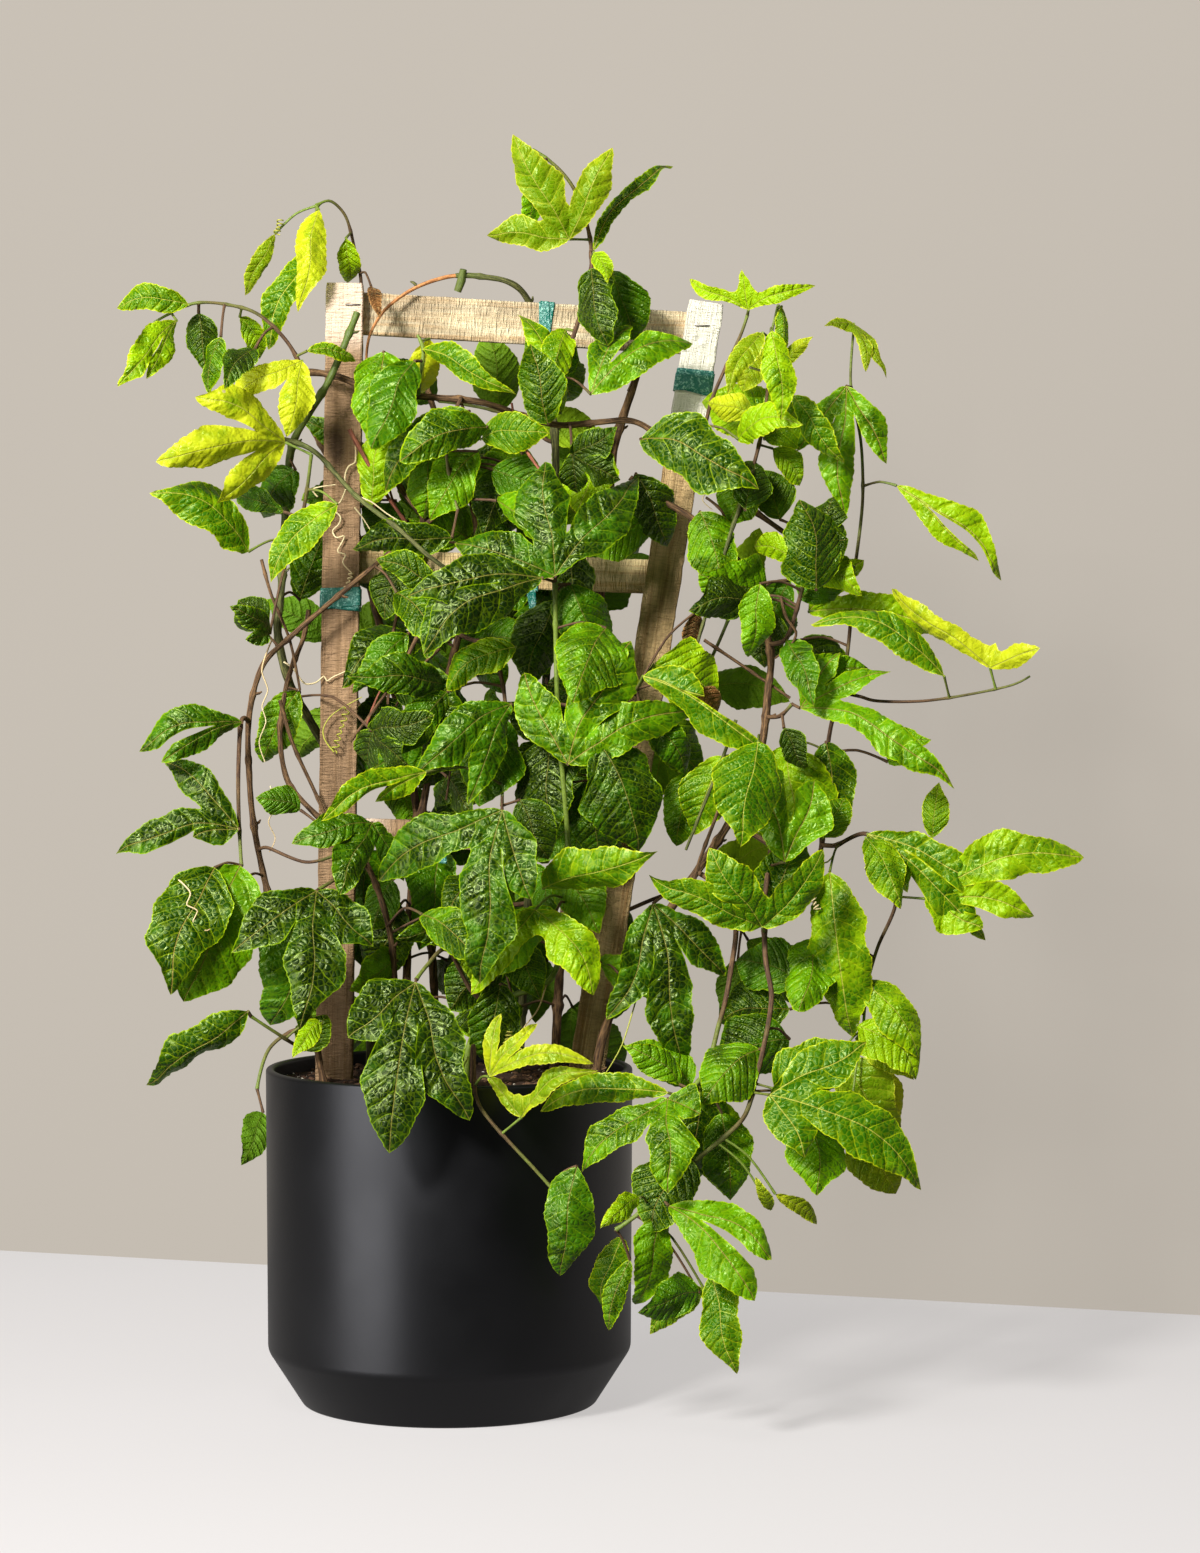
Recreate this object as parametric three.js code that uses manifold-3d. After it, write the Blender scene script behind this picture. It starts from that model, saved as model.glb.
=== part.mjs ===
// A passion flower vine in a round planter, trained up a small wooden ladder.
// Millimetres, +Z up, -Y is the front. The origin is the middle of the pot's base.
import * as THREE from 'three';
import { mergeVertices } from 'three/addons/utils/BufferGeometryUtils.js';
import Module from 'manifold-3d';

const wasm = await Module();
wasm.setup();

// ---- Driving sizes
const POT_HEIGHT = 235;
const POT_RIM_R = 128.5;
const POT_CREASE_R = 127.4;      // where the sloped foot starts
const POT_CREASE_Z = 38;
const POT_BASE_R = 103;
const POT_WALL = 6;
const POT_FLOOR = 8;
const POT_SIDES = 40;
const MIX_TOP = 225;             // potting mix, 10 mm under the lip
const GAP = 0.3;                 // kept between pieces that touch
const BOARD_THICK = 12;          // ladder uprights
const SLAT_THICK = 8;
const BOARD_FOOT_Z = 120;        // how deep the uprights stand
const TAPE_THICK = 0.8;

// ---- The layout sheet: the vine is drawn in elevation on a sheet of 0.7 mm steps, seen from
// an eye in front of the pot. A mark is [across, down, depth in mm behind the pot's middle].
const EYE = new THREE.Vector3(105.7, -2716, 528);
const SHEET_MID_ACROSS = 600;
const SHEET_MID_DOWN = 649;
const SHEET_REACH = 3880;        // steps from the eye to the sheet

const spot = (across, down, depth) => {
  const step = (depth - EYE.y) / SHEET_REACH;
  return new THREE.Vector3(EYE.x + (across - SHEET_MID_ACROSS) * step, depth,
    EYE.z - (down - SHEET_MID_DOWN) * step);
};

// ---- Ladder boards: name, two marks on the centre line, width, thickness, depth of the middle
const SLAT_DEPTH = (BOARD_THICK + SLAT_THICK) / 2 + GAP;
const BOARDS = [
  ['trellis_upright_left', [346, 285], [331, 1230], 25.9, BOARD_THICK, 0],
  ['trellis_upright_right', [706, 304], [562, 1230], 24.5, BOARD_THICK, 0],
  ['trellis_slat_top', [330, 313], [697, 335], 29.4, SLAT_THICK, SLAT_DEPTH],
  ['trellis_slat_middle', [324, 565], [679, 578], 23.8, SLAT_THICK, SLAT_DEPTH],
  ['trellis_slat_lower', [320, 831], [640, 841], 19.6, SLAT_THICK, SLAT_DEPTH],
];

// Tape bands: name, board, place along the board from its first mark (mm), band width, tail
const BANDS = [
  ['tie_slat_top', 'trellis_slat_top', 152, 8.4, 26],
  ['tie_upright_right', 'trellis_upright_right', 56, 17, 0],
  ['tie_upright_left', 'trellis_upright_left', 220, 16, 0],
  ['tie_slat_middle', 'trellis_slat_middle', 145, 12, 14],
  ['tie_slat_lower', 'trellis_slat_lower', 84, 14, 10],
];

// Staples: name, mark across and down, face of the board (-1 front, 1 back of the slat)
const STAPLES = [
  ['staple_top_left', 354, 306, -1], ['staple_top_right', 702, 327, -1],
  ['staple_middle_left', 338, 566, 1], ['staple_middle_right', 664, 577, 1],
  ['staple_lower_left', 336, 832, 1], ['staple_lower_right', 624, 840, 1],
];

// ---- Woody canes: name, thickness at foot and at tip (radius), sides, route marks
const CANES = [
  ['cane_left', 3.6, 2.4, 5, [[372, 1135, 24], [366, 960, 34], [345, 800, 34], [317, 733, 24],
    [292, 689, 4], [278, 634, -8], [282, 585, -10], [289, 470, -10], [300, 430, -26],
    [330, 381, -38], [358, 314, -30]]],
  ['cane_twin_left', 2.4, 1.7, 4, [[330, 1135, -24], [314, 1040, -30], [276, 925, -36],
    [255, 835, -34], [249, 772, -32], [249, 717, -32], [262, 667, -32], [285, 642, -32],
    [330, 603, -30], [388, 555, -28], [432, 520, -24]]],
  ['cane_twin_right', 2.2, 1.7, 4, [[398, 1135, -34], [392, 950, -36], [363, 859, -28],
    [328, 826, -24], [303, 802, -20], [286, 777, -16], [280, 730, -14], [289, 676, -13],
    [303, 640, -15], [309, 610, -18]]],
  ['cane_across', 3.0, 1.9, 4, [[440, 1135, 44], [430, 930, 50], [405, 740, 48], [350, 510, 36],
    [314, 430, 26], [297, 392, 8], [305, 374, -14], [340, 378, -22], [388, 394, -26],
    [476, 402, -26], [523, 417, -26], [564, 426, -26], [623, 421, -26], [652, 432, -26],
    [698, 472, -24], [752, 510, -16], [783, 532, -12]]],
  ['cane_right', 3.4, 2.6, 5, [[552, 1135, 26], [562, 940, 34], [586, 740, 38], [606, 540, 24],
    [614, 449, 4], [634, 385, -5], [640, 340, -6], [630, 306, -5]]],
  ['cane_back', 3.0, 2.0, 4, [[404, 1135, 8], [408, 930, 22], [424, 800, 30], [452, 660, 34],
    [478, 560, 30], [466, 480, 22], [440, 425, 20], [420, 366, 24]]],
  ['cane_top', 3.0, 1.2, 4, [[516, 1135, 48], [528, 900, 56], [546, 680, 56], [556, 470, 46],
    [546, 370, 36], [532, 310, 25], [514, 286, 12], [488, 279, 8], [461, 277, 6],
    [438, 281, 3], [411, 292, -3], [385, 312, -7], [370, 338, -10], [367, 362, -11]]],
  ['cane_right_low', 3.2, 2.0, 4, [[594, 1135, -44], [602, 1040, -54], [650, 940, -62],
    [712, 850, -62], [756, 770, -56], [768, 690, -50], [769, 644, -46], [744, 570, -42],
    [722, 549, -40], [690, 517, -38], [658, 499, -36], [630, 478, -34]]],
  ['cane_stub', 4.6, 4.0, 5, [[424, 1135, -52], [419, 1034, -56]]],
];

// ---- Leafy stems: name, cane or stem it grows on ('' for the potting mix), thickness at foot
// and tip (radius), route marks, leaves. A leaf is [age, lobe width in steps, roll in degrees,
// foot mark, tip mark, marks across and down of any side lobes].
const STEMS = [
  ['stem_centre', '', 2.4, 1.7, [[470, 1135, -44], [468, 1050, -48], [505, 1000, -50],
    [545, 985, -54], [562, 945, -58], [568, 848, -64], [558, 716, -72], [555, 582, -78]], [
    ['dark', 58, 0, [555, 576, -84], [545, 460, -62], [453, 537], [638, 465]],
    ['light', 56, 0, [568, 764, -92], [630, 640, -80], [529, 675], [690, 706]],
    ['light', 42, -10, [543, 889, -100], [656, 855, -120]],
    ['light', 46, 5, [535, 910, -108], [594, 994, -126], [473, 984]],
    ['light', 34, 0, [558, 622, -62], [604, 655, -60]],
    ['dark', 40, 10, [572, 590, -46], [588, 646, -40]],
  ]],
  ['stem_crown', 'cane_across', 1.9, 1.1, [[552, 388, -32], [569, 350, -32], [590, 279, -28],
    [589, 235, -26], [574, 191, -24], [553, 166, -24], [533, 152, -26]], [
    ['young', 40, 0, [569, 241, -40], [512, 138, -30], [483, 240], [606, 155]],
    ['mid', 18, 25, [542, 168, -36], [518, 244, -44]],
    ['mid', 17, 30, [593, 252, -30], [672, 164, -10]],
    ['light', 16, 0, [594, 254, -46], [607, 284, -52]],
    ['dark', 42, -10, [591, 270, -44], [606, 346, -60]],
    ['mid', 48, 10, [591, 395, -62], [692, 342, -70], [636, 332]],
    ['light', 30, -20, [561, 414, -44], [519, 313, -48]],
    ['dark', 22, 15, [545, 372, -16], [528, 327, -10]],
    ['dark', 26, 0, [556, 380, -8], [576, 345, -4]],
  ]],
  ['stem_top_left', 'cane_across', 1.6, 1.0, [[460, 402, -38], [447, 438, -46], [450, 479, -48],
    [458, 510, -50]], [
    ['mid', 38, 10, [470, 412, -52], [384, 492, -58]],
    ['mid', 42, -15, [432, 446, -36], [424, 520, -44]],
    ['light', 36, 5, [482, 440, -44], [548, 434, -40]],
    ['dark', 42, -5, [492, 470, -30], [548, 500, -34]],
    ['dark', 34, 10, [452, 538, -62], [352, 552, -70]],
  ]],
  ['stem_top_light', 'cane_across', 1.5, 1.0, [[420, 380, -36], [424, 352, -40], [418, 336, -40]], [
    ['dark', 44, 5, [415, 362, -48], [372, 448, -62]],
    ['light', 24, -20, [423, 350, -52], [514, 396, -60]],
    ['young', 32, 20, [430, 340, -30], [404, 412, -30]],
  ]],
  ['stem_arch', 'cane_left', 1.7, 0.9, [[309, 410, -46], [306, 381, -52], [291, 347, -56],
    [263, 318, -60], [234, 307, -62], [194, 305, -66], [155, 324, -70]], [
    ['light', 25, 20, [190, 306, -76], [118, 310, -92]],
    ['light', 32, 0, [178, 322, -84], [121, 387, -92], [150, 384]],
    ['dark', 28, 10, [200, 314, -58], [206, 371, -58]],
    ['mid', 24, -25, [222, 338, -72], [209, 395, -80]],
    ['light', 22, 10, [241, 318, -50], [262, 360, -44]],
    ['dark', 26, 0, [256, 350, -74], [226, 388, -82]],
    ['young', 36, 0, [303, 362, -66], [288, 437, -78], [232, 400]],
    ['light', 13, 10, [308, 352, -60], [358, 362, -66]],
  ]],
  ['stem_hook', 'cane_across', 1.6, 0.9, [[352, 400, 44], [360, 330, 34], [362, 284, 28],
    [356, 253, 20], [347, 219, 12], [331, 203, 4], [318, 208, -2]], [
    ['young', 28, 10, [320, 212, -10], [299, 312, -20]],
    ['light', 30, -15, [314, 252, -4], [270, 350, -14]],
    ['light', 22, 10, [347, 240, 4], [349, 286, 0]],
    ['young', 16, 20, [276, 236, -2], [247, 298, -10]],
  ]],
  ['stem_left_upper', 'cane_left', 1.7, 1.2, [[296, 540, -26], [306, 500, -42], [312, 455, -54]], [
    ['young', 46, 5, [286, 443, -66], [159, 464, -86], [200, 410], [217, 513]],
    ['light', 46, -10, [249, 552, -40], [153, 492, -56]],
    ['dark', 24, 15, [284, 512, -34], [234, 494, -30]],
    ['light', 34, -15, [338, 505, -62], [270, 582, -72]],
    ['dark', 24, 0, [270, 634, -52], [232, 607, -60], [243, 645]],
  ]],
  ['stem_left_middle', 'cane_twin_left', 1.8, 1.2, [[241, 722, -50], [238, 780, -58],
    [239, 829, -64], [241, 866, -68]], [
    ['dark', 34, -10, [242, 722, -64], [140, 752, -80], [163, 768]],
    ['dark', 40, 0, [238, 829, -72], [114, 853, -94], [162, 765], [196, 851]],
    ['mid', 74, 5, [240, 866, -74], [186, 1000, -96]],
  ]],
  ['stem_left_lower', 'cane_twin_right', 1.7, 1.2, [[352, 868, -46], [334, 880, -66],
    [318, 890, -78]], [
    ['dark', 60, 0, [316, 891, -84], [300, 1029, -98], [234, 951], [375, 948]],
    ['dark', 26, 10, [300, 810, -44], [256, 798, -48]],
  ]],
  ['stem_left_edge', 'cane_twin_left', 1.6, 1.1, [[298, 1046, -48], [282, 1038, -66],
    [250, 1017, -80]], [
    ['mid', 36, 20, [247, 1012, -84], [146, 1090, -98]],
    ['light', 20, 0, [320, 1022, -72], [292, 1058, -76]],
  ]],
  ['stem_front_left', 'stem_centre', 1.7, 1.3, [[470, 990, -66], [448, 950, -86],
    [430, 962, -110], [416, 980, -126]], [
    ['dark', 68, 0, [415, 983, -138], [388, 1153, -158], [350, 1040], [470, 1120]],
    ['light', 24, 20, [466, 950, -96], [480, 1000, -104]],
  ]],
  ['stem_inner_left', 'cane_back', 1.8, 1.2, [[472, 640, 0], [492, 650, -34], [505, 700, -54],
    [503, 760, -64], [502, 806, -72]], [
    ['light', 34, 5, [516, 647, -74], [446, 690, -84]],
    ['mid', 42, -5, [511, 704, -78], [417, 775, -96], [473, 807]],
    ['light', 32, 10, [426, 772, -104], [322, 822, -112], [378, 811]],
    ['dark', 58, 0, [502, 810, -110], [478, 985, -122], [368, 880], [535, 900]],
    ['dark', 34, 0, [447, 692, -58], [397, 757, -66]],
  ]],
  ['stem_inner_top', 'cane_back', 1.6, 1.2, [[470, 614, 2], [452, 610, -26], [425, 618, -38]], [
    ['dark', 36, -10, [479, 574, -60], [426, 656, -70]],
    ['dark', 30, 10, [408, 634, -44], [353, 694, -52]],
    ['mid', 30, 10, [440, 590, -40], [376, 560, -46]],
  ]],
  ['stem_top_right', 'cane_across', 1.6, 1.0, [[700, 446, -44], [712, 399, -52],
    [739, 339, -56], [747, 316, -58]], [
    ['light', 16, 10, [748, 311, -64], [814, 288, -72], [686, 285], [744, 278]],
    ['dark', 56, -5, [640, 440, -72], [757, 488, -84]],
    ['young', 26, 10, [752, 416, -66], [707, 404, -74]],
    ['light', 26, -10, [792, 396, -78], [843, 465, -90]],
    ['light', 30, 0, [738, 440, -50], [800, 425, -50]],
  ]],
  ['stem_top_right_light', 'cane_right_low', 1.6, 0.9, [[732, 528, -54], [748, 484, -62],
    [762, 430, -64], [768, 380, -62], [770, 340, -60], [778, 306, -58]], [
    ['young', 22, 10, [762, 334, -74], [728, 394, -80]],
    ['young', 28, 0, [771, 332, -82], [781, 421, -90]],
    ['light', 12, 20, [781, 308, -66], [781, 362, -72]],
    ['young', 13, 20, [786, 366, -60], [812, 338, -66]],
    ['light', 24, 0, [772, 449, -52], [800, 486, -50]],
    ['dark', 36, 0, [745, 510, -80], [755, 460, -84]],
  ]],
  ['stem_right', 'cane_right_low', 2.0, 0.9, [[770, 845, -52], [806, 868, -48],
    [822, 845, -44], [823, 788, -40], [831, 726, -36], [842, 685, -34], [849, 638, -32],
    [854, 574, -30], [862, 504, -28], [860, 440, -26], [850, 385, -24], [853, 330, -24]], [
    ['mid', 36, 0, [846, 387, -38], [844, 517, -42], [797, 453], [886, 464]],
    ['young', 15, 15, [853, 325, -32], [866, 371, -36], [824, 326], [888, 374]],
    ['light', 34, 10, [896, 486, -36], [1001, 582, -44], [973, 566]],
    ['light', 32, 0, [823, 838, -62], [846, 797, -70]],
    ['mid', 30, 10, [888, 762, -50], [930, 740, -54]],
  ]],
  ['stem_right_twig', 'stem_right', 1.3, 0.7, [[862, 697, -46], [878, 701, -54],
    [923, 701, -62], [971, 694, -68], [1012, 685, -72], [1030, 676, -74]], [
    ['light', 30, -15, [944, 676, -78], [812, 622, -64]],
    ['young', 26, 10, [990, 668, -76], [888, 590, -66], [1037, 656]],
  ]],
  ['stem_right_low', 'stem_right', 1.7, 1.0, [[838, 845, -62], [867, 834, -72],
    [890, 868, -76], [896, 905, -74], [880, 943, -72], [868, 985, -72], [864, 1030, -74]], [
    ['light', 46, 5, [868, 834, -84], [986, 942, -98], [900, 901], [1001, 898]],
    ['light', 50, -5, [926, 899, -88], [1084, 858, -104], [1039, 930], [989, 945]],
    ['light', 24, 0, [933, 838, -66], [939, 782, -62]],
    ['light', 54, 5, [830, 872, -92], [852, 1040, -104]],
    ['light', 38, 0, [862, 982, -86], [920, 1058, -96]],
    ['young', 28, 10, [857, 1040, -66], [914, 1080, -66]],
    ['young', 28, 10, [852, 1062, -48], [901, 1122, -44]],
  ]],
  ['stem_middle_right', 'cane_right_low', 1.8, 1.2, [[785, 640, -60], [795, 615, -66],
    [804, 580, -70], [812, 553, -72]], [
    ['dark', 52, 5, [816, 553, -82], [833, 496, -80], [850, 540]],
    ['light', 34, 0, [800, 560, -60], [860, 596, -66], [752, 552]],
    ['dark', 42, 10, [754, 600, -72], [690, 612, -78]],
    ['mid', 32, 0, [760, 584, -86], [748, 658, -94]],
  ]],
  ['stem_right_inner', 'cane_right_low', 1.6, 1.1, [[780, 716, -66], [792, 704, -72]], [
    ['dark', 26, 0, [784, 728, -76], [806, 770, -80]],
    ['mid', 34, 10, [800, 708, -78], [955, 785, -92], [834, 664], [884, 685]],
  ]],
  ['stem_front_middle', 'stem_centre', 1.5, 1.1, [[584, 704, -74], [612, 692, -80],
    [636, 690, -88]], [
    ['light', 46, 0, [643, 676, -104], [766, 755, -112], [700, 706]],
    ['dark', 32, 5, [642, 712, -84], [686, 776, -88]],
  ]],
  ['stem_hang_left', 'cane_right_low', 2.0, 1.5, [[722, 890, -80], [736, 925, -94],
    [732, 965, -104], [726, 1000, -112], [718, 1030, -120], [706, 1072, -134],
    [684, 1098, -146]], [
    ['dark', 48, 0, [653, 904, -104], [683, 1074, -124], [605, 1021], [722, 977]],
    ['dark', 48, 0, [668, 1100, -160], [667, 1193, -172], [577, 1167], [700, 1117]],
    ['mid', 46, -10, [722, 1114, -136], [731, 1203, -146]],
    ['light', 26, 10, [668, 1094, -150], [538, 1114, -160]],
    ['mid', 26, -10, [680, 1086, -134], [624, 1046, -132]],
  ]],
  ['stem_hang', 'cane_right_low', 2.0, 1.5, [[768, 800, -78], [772, 840, -92],
    [765, 900, -106], [766, 960, -118], [772, 996, -124], [766, 1039, -132],
    [755, 1085, -140], [742, 1122, -144], [700, 1159, -148], [669, 1190, -152],
    [636, 1218, -154], [616, 1232, -154]], [
    ['light', 48, 0, [762, 927, -130], [709, 850, -132], [648, 884], [822, 866]],
    ['light', 60, 5, [773, 852, -112], [764, 758, -104]],
    ['dark', 54, 0, [770, 1096, -158], [924, 1192, -172], [859, 1057], [796, 1174]],
    ['mid', 48, 0, [669, 1208, -168], [755, 1302, -180], [770, 1264]],
    ['mid', 36, 5, [712, 1278, -160], [737, 1378, -164]],
    ['light', 34, 0, [662, 1212, -156], [636, 1310, -160]],
    ['light', 26, 10, [704, 1291, -146], [650, 1338, -150]],
    ['light', 20, 20, [640, 1200, -178], [602, 1230, -182]],
    ['mid', 20, -20, [630, 1262, -146], [608, 1334, -148]],
    ['young', 14, 10, [776, 1196, -150], [819, 1228, -154]],
  ]],
  ['stem_rim', '', 1.5, 1.1, [[472, 1135, -78], [472, 1055, -98], [474, 1052, -126],
    [474, 1080, -146], [482, 1112, -150], [530, 1166, -152], [583, 1225, -152]], [
    ['young', 20, 0, [489, 1078, -158], [592, 1064, -166], [501, 1025], [538, 1035]],
    ['young', 20, 10, [521, 1119, -160], [596, 1072, -164], [492, 1083]],
    ['dark', 42, 5, [577, 1168, -166], [559, 1280, -172]],
  ]],
  ['stem_loop', 'cane_twin_left', 1.3, 1.0, [[268, 848, -48], [303, 862, -54],
    [333, 856, -54], [369, 838, -52]], []],
  ['stem_behind_left', 'cane_across', 1.8, 1.2, [[392, 740, 76], [356, 700, 98],
    [332, 640, 112], [322, 580, 120]], [
    ['mid', 40, 0, [350, 706, 112], [296, 760, 126]],
    ['dark', 38, 10, [326, 640, 124], [266, 600, 132]],
    ['mid', 44, -10, [350, 660, 120], [402, 590, 130]],
    ['light', 40, 0, [322, 574, 132], [338, 486, 128], [296, 530]],
  ]],
  ['stem_behind_middle', 'cane_top', 1.8, 1.2, [[560, 720, 82], [580, 660, 106],
    [592, 600, 124], [588, 530, 134]], [
    ['mid', 50, 0, [588, 524, 144], [560, 424, 136], [520, 480]],
    ['dark', 44, 5, [596, 610, 136], [660, 560, 140]],
    ['light', 44, -5, [584, 680, 124], [640, 760, 140]],
  ]],
  ['stem_behind_right', 'cane_right', 1.8, 1.2, [[612, 770, 68], [656, 735, 98],
    [700, 680, 118], [728, 620, 126]], [
    ['mid', 50, 0, [664, 742, 116], [700, 830, 130], [640, 800]],
    ['mid', 44, 5, [706, 690, 132], [790, 700, 136]],
    ['light', 44, 0, [730, 614, 136], [760, 530, 128]],
  ]],
  ['stem_behind_low', 'cane_top', 1.8, 1.2, [[500, 900, 86], [474, 840, 112],
    [446, 780, 130], [436, 720, 138]], [
    ['dark', 50, 0, [500, 880, 116], [550, 960, 128], [480, 960]],
    ['mid', 46, 0, [460, 830, 130], [386, 850, 142]],
    ['mid', 44, 5, [436, 714, 146], [440, 620, 140]],
  ]],
  ['stem_behind_rim', 'cane_right', 1.8, 1.3, [[604, 920, 72], [652, 900, 98],
    [706, 890, 116], [742, 930, 128]], [
    ['dark', 46, 0, [738, 962, 120], [786, 1010, 130], [720, 1016]],
    ['light', 40, 5, [712, 880, 130], [790, 850, 134]],
    ['mid', 44, 0, [748, 940, 140], [812, 1010, 152]],
  ]],
  ['stem_behind_pot', '', 1.7, 1.2, [[345, 1135, 66], [334, 1055, 80], [302, 1030, 104],
    [268, 1050, 116], [256, 1090, 112]], [
    ['dark', 28, 0, [262, 1114, 108], [241, 1166, 104]],
    ['mid', 40, 0, [300, 1024, 118], [330, 940, 124]],
    ['mid', 44, 10, [310, 1036, 130], [392, 1060, 158]],
  ]],
  ['stem_behind_top', 'cane_top', 1.7, 1.1, [[546, 440, 72], [520, 420, 96],
    [480, 408, 112], [440, 402, 120]], [
    ['mid', 44, 0, [500, 412, 116], [486, 330, 104]],
    ['dark', 42, 10, [436, 400, 130], [372, 370, 126]],
    ['light', 40, 0, [526, 430, 108], [600, 440, 120]],
  ]],
];

// ---- Leaf form
const BLADE_THICK = { young: 0.8, light: 0.9, mid: 1.0, dark: 1.1 };
const LEAF_BOW = 0.13;           // rise of the arched midrib, per length
const LEAF_LEAN = 24;            // how far a tip leans in or out
const LEAF_TURN = 16;            // degrees about the midrib
const LEAF_FOLD = 0.22;          // fall of the blade away from the midrib
const EDGE_WAVE = 2.2;           // waved margin, mm
const SIDE_LOBE_WIDTH = 0.82;    // against the middle lobe
const LEAFSTALK_R = 1.15;
const LONG_LOBE = 98;            // a lobe over this length has three rows, and one under
const SHORT_LOBE = 42;           // this has one
const CLEARANCE = 8.5;           // kept by a leaf from its neighbours
const OWN_CLEARANCE = 4;
const SHIFTS = [0, -11, 11, -22, 22, -33, 33, -44, 44, -55, 55, -66, 66, -77, 77, -88, 88];
const TILTS = [0, 18, -18];

const COLOURS = {
  pot: ['#24262b', 0.38], mix: ['#3a2a20', 0.95], pine: ['#c6a67c', 0.75],
  old_pine: ['#8c7350', 0.85], bark: ['#6a5a42', 0.8], green_bark: ['#5f6b3f', 0.7],
  tape: ['#1c7a68', 0.45], steel: ['#6d6a66', 0.4], leaf: ['#3c7a22', 0.42],
};

// ---- Solids
const paint = (key) => new THREE.MeshStandardMaterial({
  color: COLOURS[key][0], roughness: COLOURS[key][1], metalness: key === 'steel' ? 0.9 : 0,
});

function solidOf(geometry) {
  const bare = new THREE.BufferGeometry();
  bare.setAttribute('position', geometry.getAttribute('position'));
  if (geometry.index) bare.setIndex(geometry.index);
  const welded = mergeVertices(bare, 1e-4);
  return new wasm.Manifold(new wasm.Mesh({
    numProp: 3,
    vertProperties: new Float32Array(welded.getAttribute('position').array),
    triVerts: new Uint32Array(welded.index.array),
  }));
}

function geometryOf(solid) {
  const mesh = solid.getMesh();
  const geometry = new THREE.BufferGeometry();
  geometry.setAttribute('position', new THREE.BufferAttribute(mesh.vertProperties, 3));
  geometry.setIndex(new THREE.BufferAttribute(mesh.triVerts, 1));
  const faceted = geometry.toNonIndexed();
  faceted.computeVertexNormals();
  return faceted;
}

function geometryFrom(points, faces) {
  const geometry = new THREE.BufferGeometry();
  const flat = points.flatMap((p) => [p.x, p.y, p.z]);
  geometry.setAttribute('position', new THREE.Float32BufferAttribute(flat, 3));
  geometry.setIndex(faces.flat());
  return geometry;
}

// A round stick along a line of points, with closed ends. Where it grows on another stick its
// foot is pointed, so that it stays inside that stick.
function stick(points, footR, tipR, sides, pointed = false) {
  const rings = [];
  const total = points.length - 1;
  let up = new THREE.Vector3(0, -1, 0.2);
  for (let i = 0; i <= total; i++) {
    const ahead = points[Math.min(i + 1, total)].clone().sub(points[Math.max(i - 1, 0)]);
    ahead.normalize();
    const right = new THREE.Vector3().crossVectors(ahead, up).normalize();
    up = new THREE.Vector3().crossVectors(right, ahead);
    const radius = (footR + (tipR - footR) * i / total) * (pointed && i === 0 ? 0.4 : 1);
    for (let k = 0; k < sides; k++) {
      const turn = 2 * Math.PI * (k + 0.5) / sides;
      rings.push(points[i].clone().addScaledVector(right, radius * Math.cos(turn))
        .addScaledVector(up, radius * Math.sin(turn)));
    }
  }
  const faces = [];
  for (let i = 0; i < total; i++) {
    for (let k = 0; k < sides; k++) {
      const a = i * sides + k;
      const b = i * sides + (k + 1) % sides;
      faces.push([a, b + sides, b], [a, a + sides, b + sides]);
    }
  }
  const last = total * sides;
  for (let k = 1; k < sides - 1; k++) {
    faces.push([0, k, k + 1], [last, last + k + 1, last + k]);
  }
  return solidOf(geometryFrom(rings, faces));
}

// ---- Lines: a route gets one rounded mark between each two of its marks
function rounded(points) {
  const line = [points[0]];
  for (let i = 0; i + 1 < points.length; i++) {
    const before = points[Math.max(i - 1, 0)];
    const after = points[Math.min(i + 2, points.length - 1)];
    const middle = points[i].clone().add(points[i + 1]).multiplyScalar(9)
      .sub(before).sub(after).divideScalar(16);
    line.push(middle, points[i + 1]);
  }
  return line;
}

function nearestOn(line, point) {
  let best = null;
  for (let i = 0; i + 1 < line.length; i++) {
    const run = line[i + 1].clone().sub(line[i]);
    const t = Math.min(1, Math.max(0, point.clone().sub(line[i]).dot(run) / run.lengthSq()));
    const at = line[i].clone().addScaledVector(run, t);
    const away = at.distanceTo(point);
    if (best === null || away < best.away - 1e-9) best = { at, away };
  }
  return best.at;
}

// ---- Ladder, with each board's own axes for the tape, the staples and the leaves' clearance
function boardFrame([name, from, to, width, thick, depth]) {
  const start = spot(from[0], from[1], depth);
  const end = spot(to[0], to[1], depth);
  if (end.z < BOARD_FOOT_Z) {
    end.lerp(start, (BOARD_FOOT_Z - end.z) / (start.z - end.z));
  }
  const along = end.clone().sub(start);
  const length = along.length();
  along.normalize();
  const across = new THREE.Vector3(along.z, 0, -along.x);
  return { name, start, along, across, length, width, thick, depth };
}

function placedBox(board, sizeAcross, sizeThick, sizeAlong, place, offThick, offAcross) {
  const geometry = new THREE.BoxGeometry(sizeAcross, sizeThick, sizeAlong);
  const basis = new THREE.Matrix4().makeBasis(board.across, new THREE.Vector3(0, 1, 0),
    board.along);
  if (basis.determinant() < 0) {
    basis.makeBasis(board.across.clone().negate(), new THREE.Vector3(0, 1, 0), board.along);
  }
  geometry.applyMatrix4(basis);
  const middle = board.start.clone().addScaledVector(board.along, place)
    .addScaledVector(board.across, offAcross);
  geometry.translate(middle.x, middle.y + offThick, middle.z);
  return solidOf(geometry);
}

const frames = BOARDS.map(boardFrame);
const frameOf = Object.fromEntries(frames.map((board) => [board.name, board]));
const boardSolid = (board, extra) => placedBox(board, board.width + 2 * extra,
  board.thick + 2 * extra, board.length + 2 * extra, board.length / 2, 0, 0);

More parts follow.
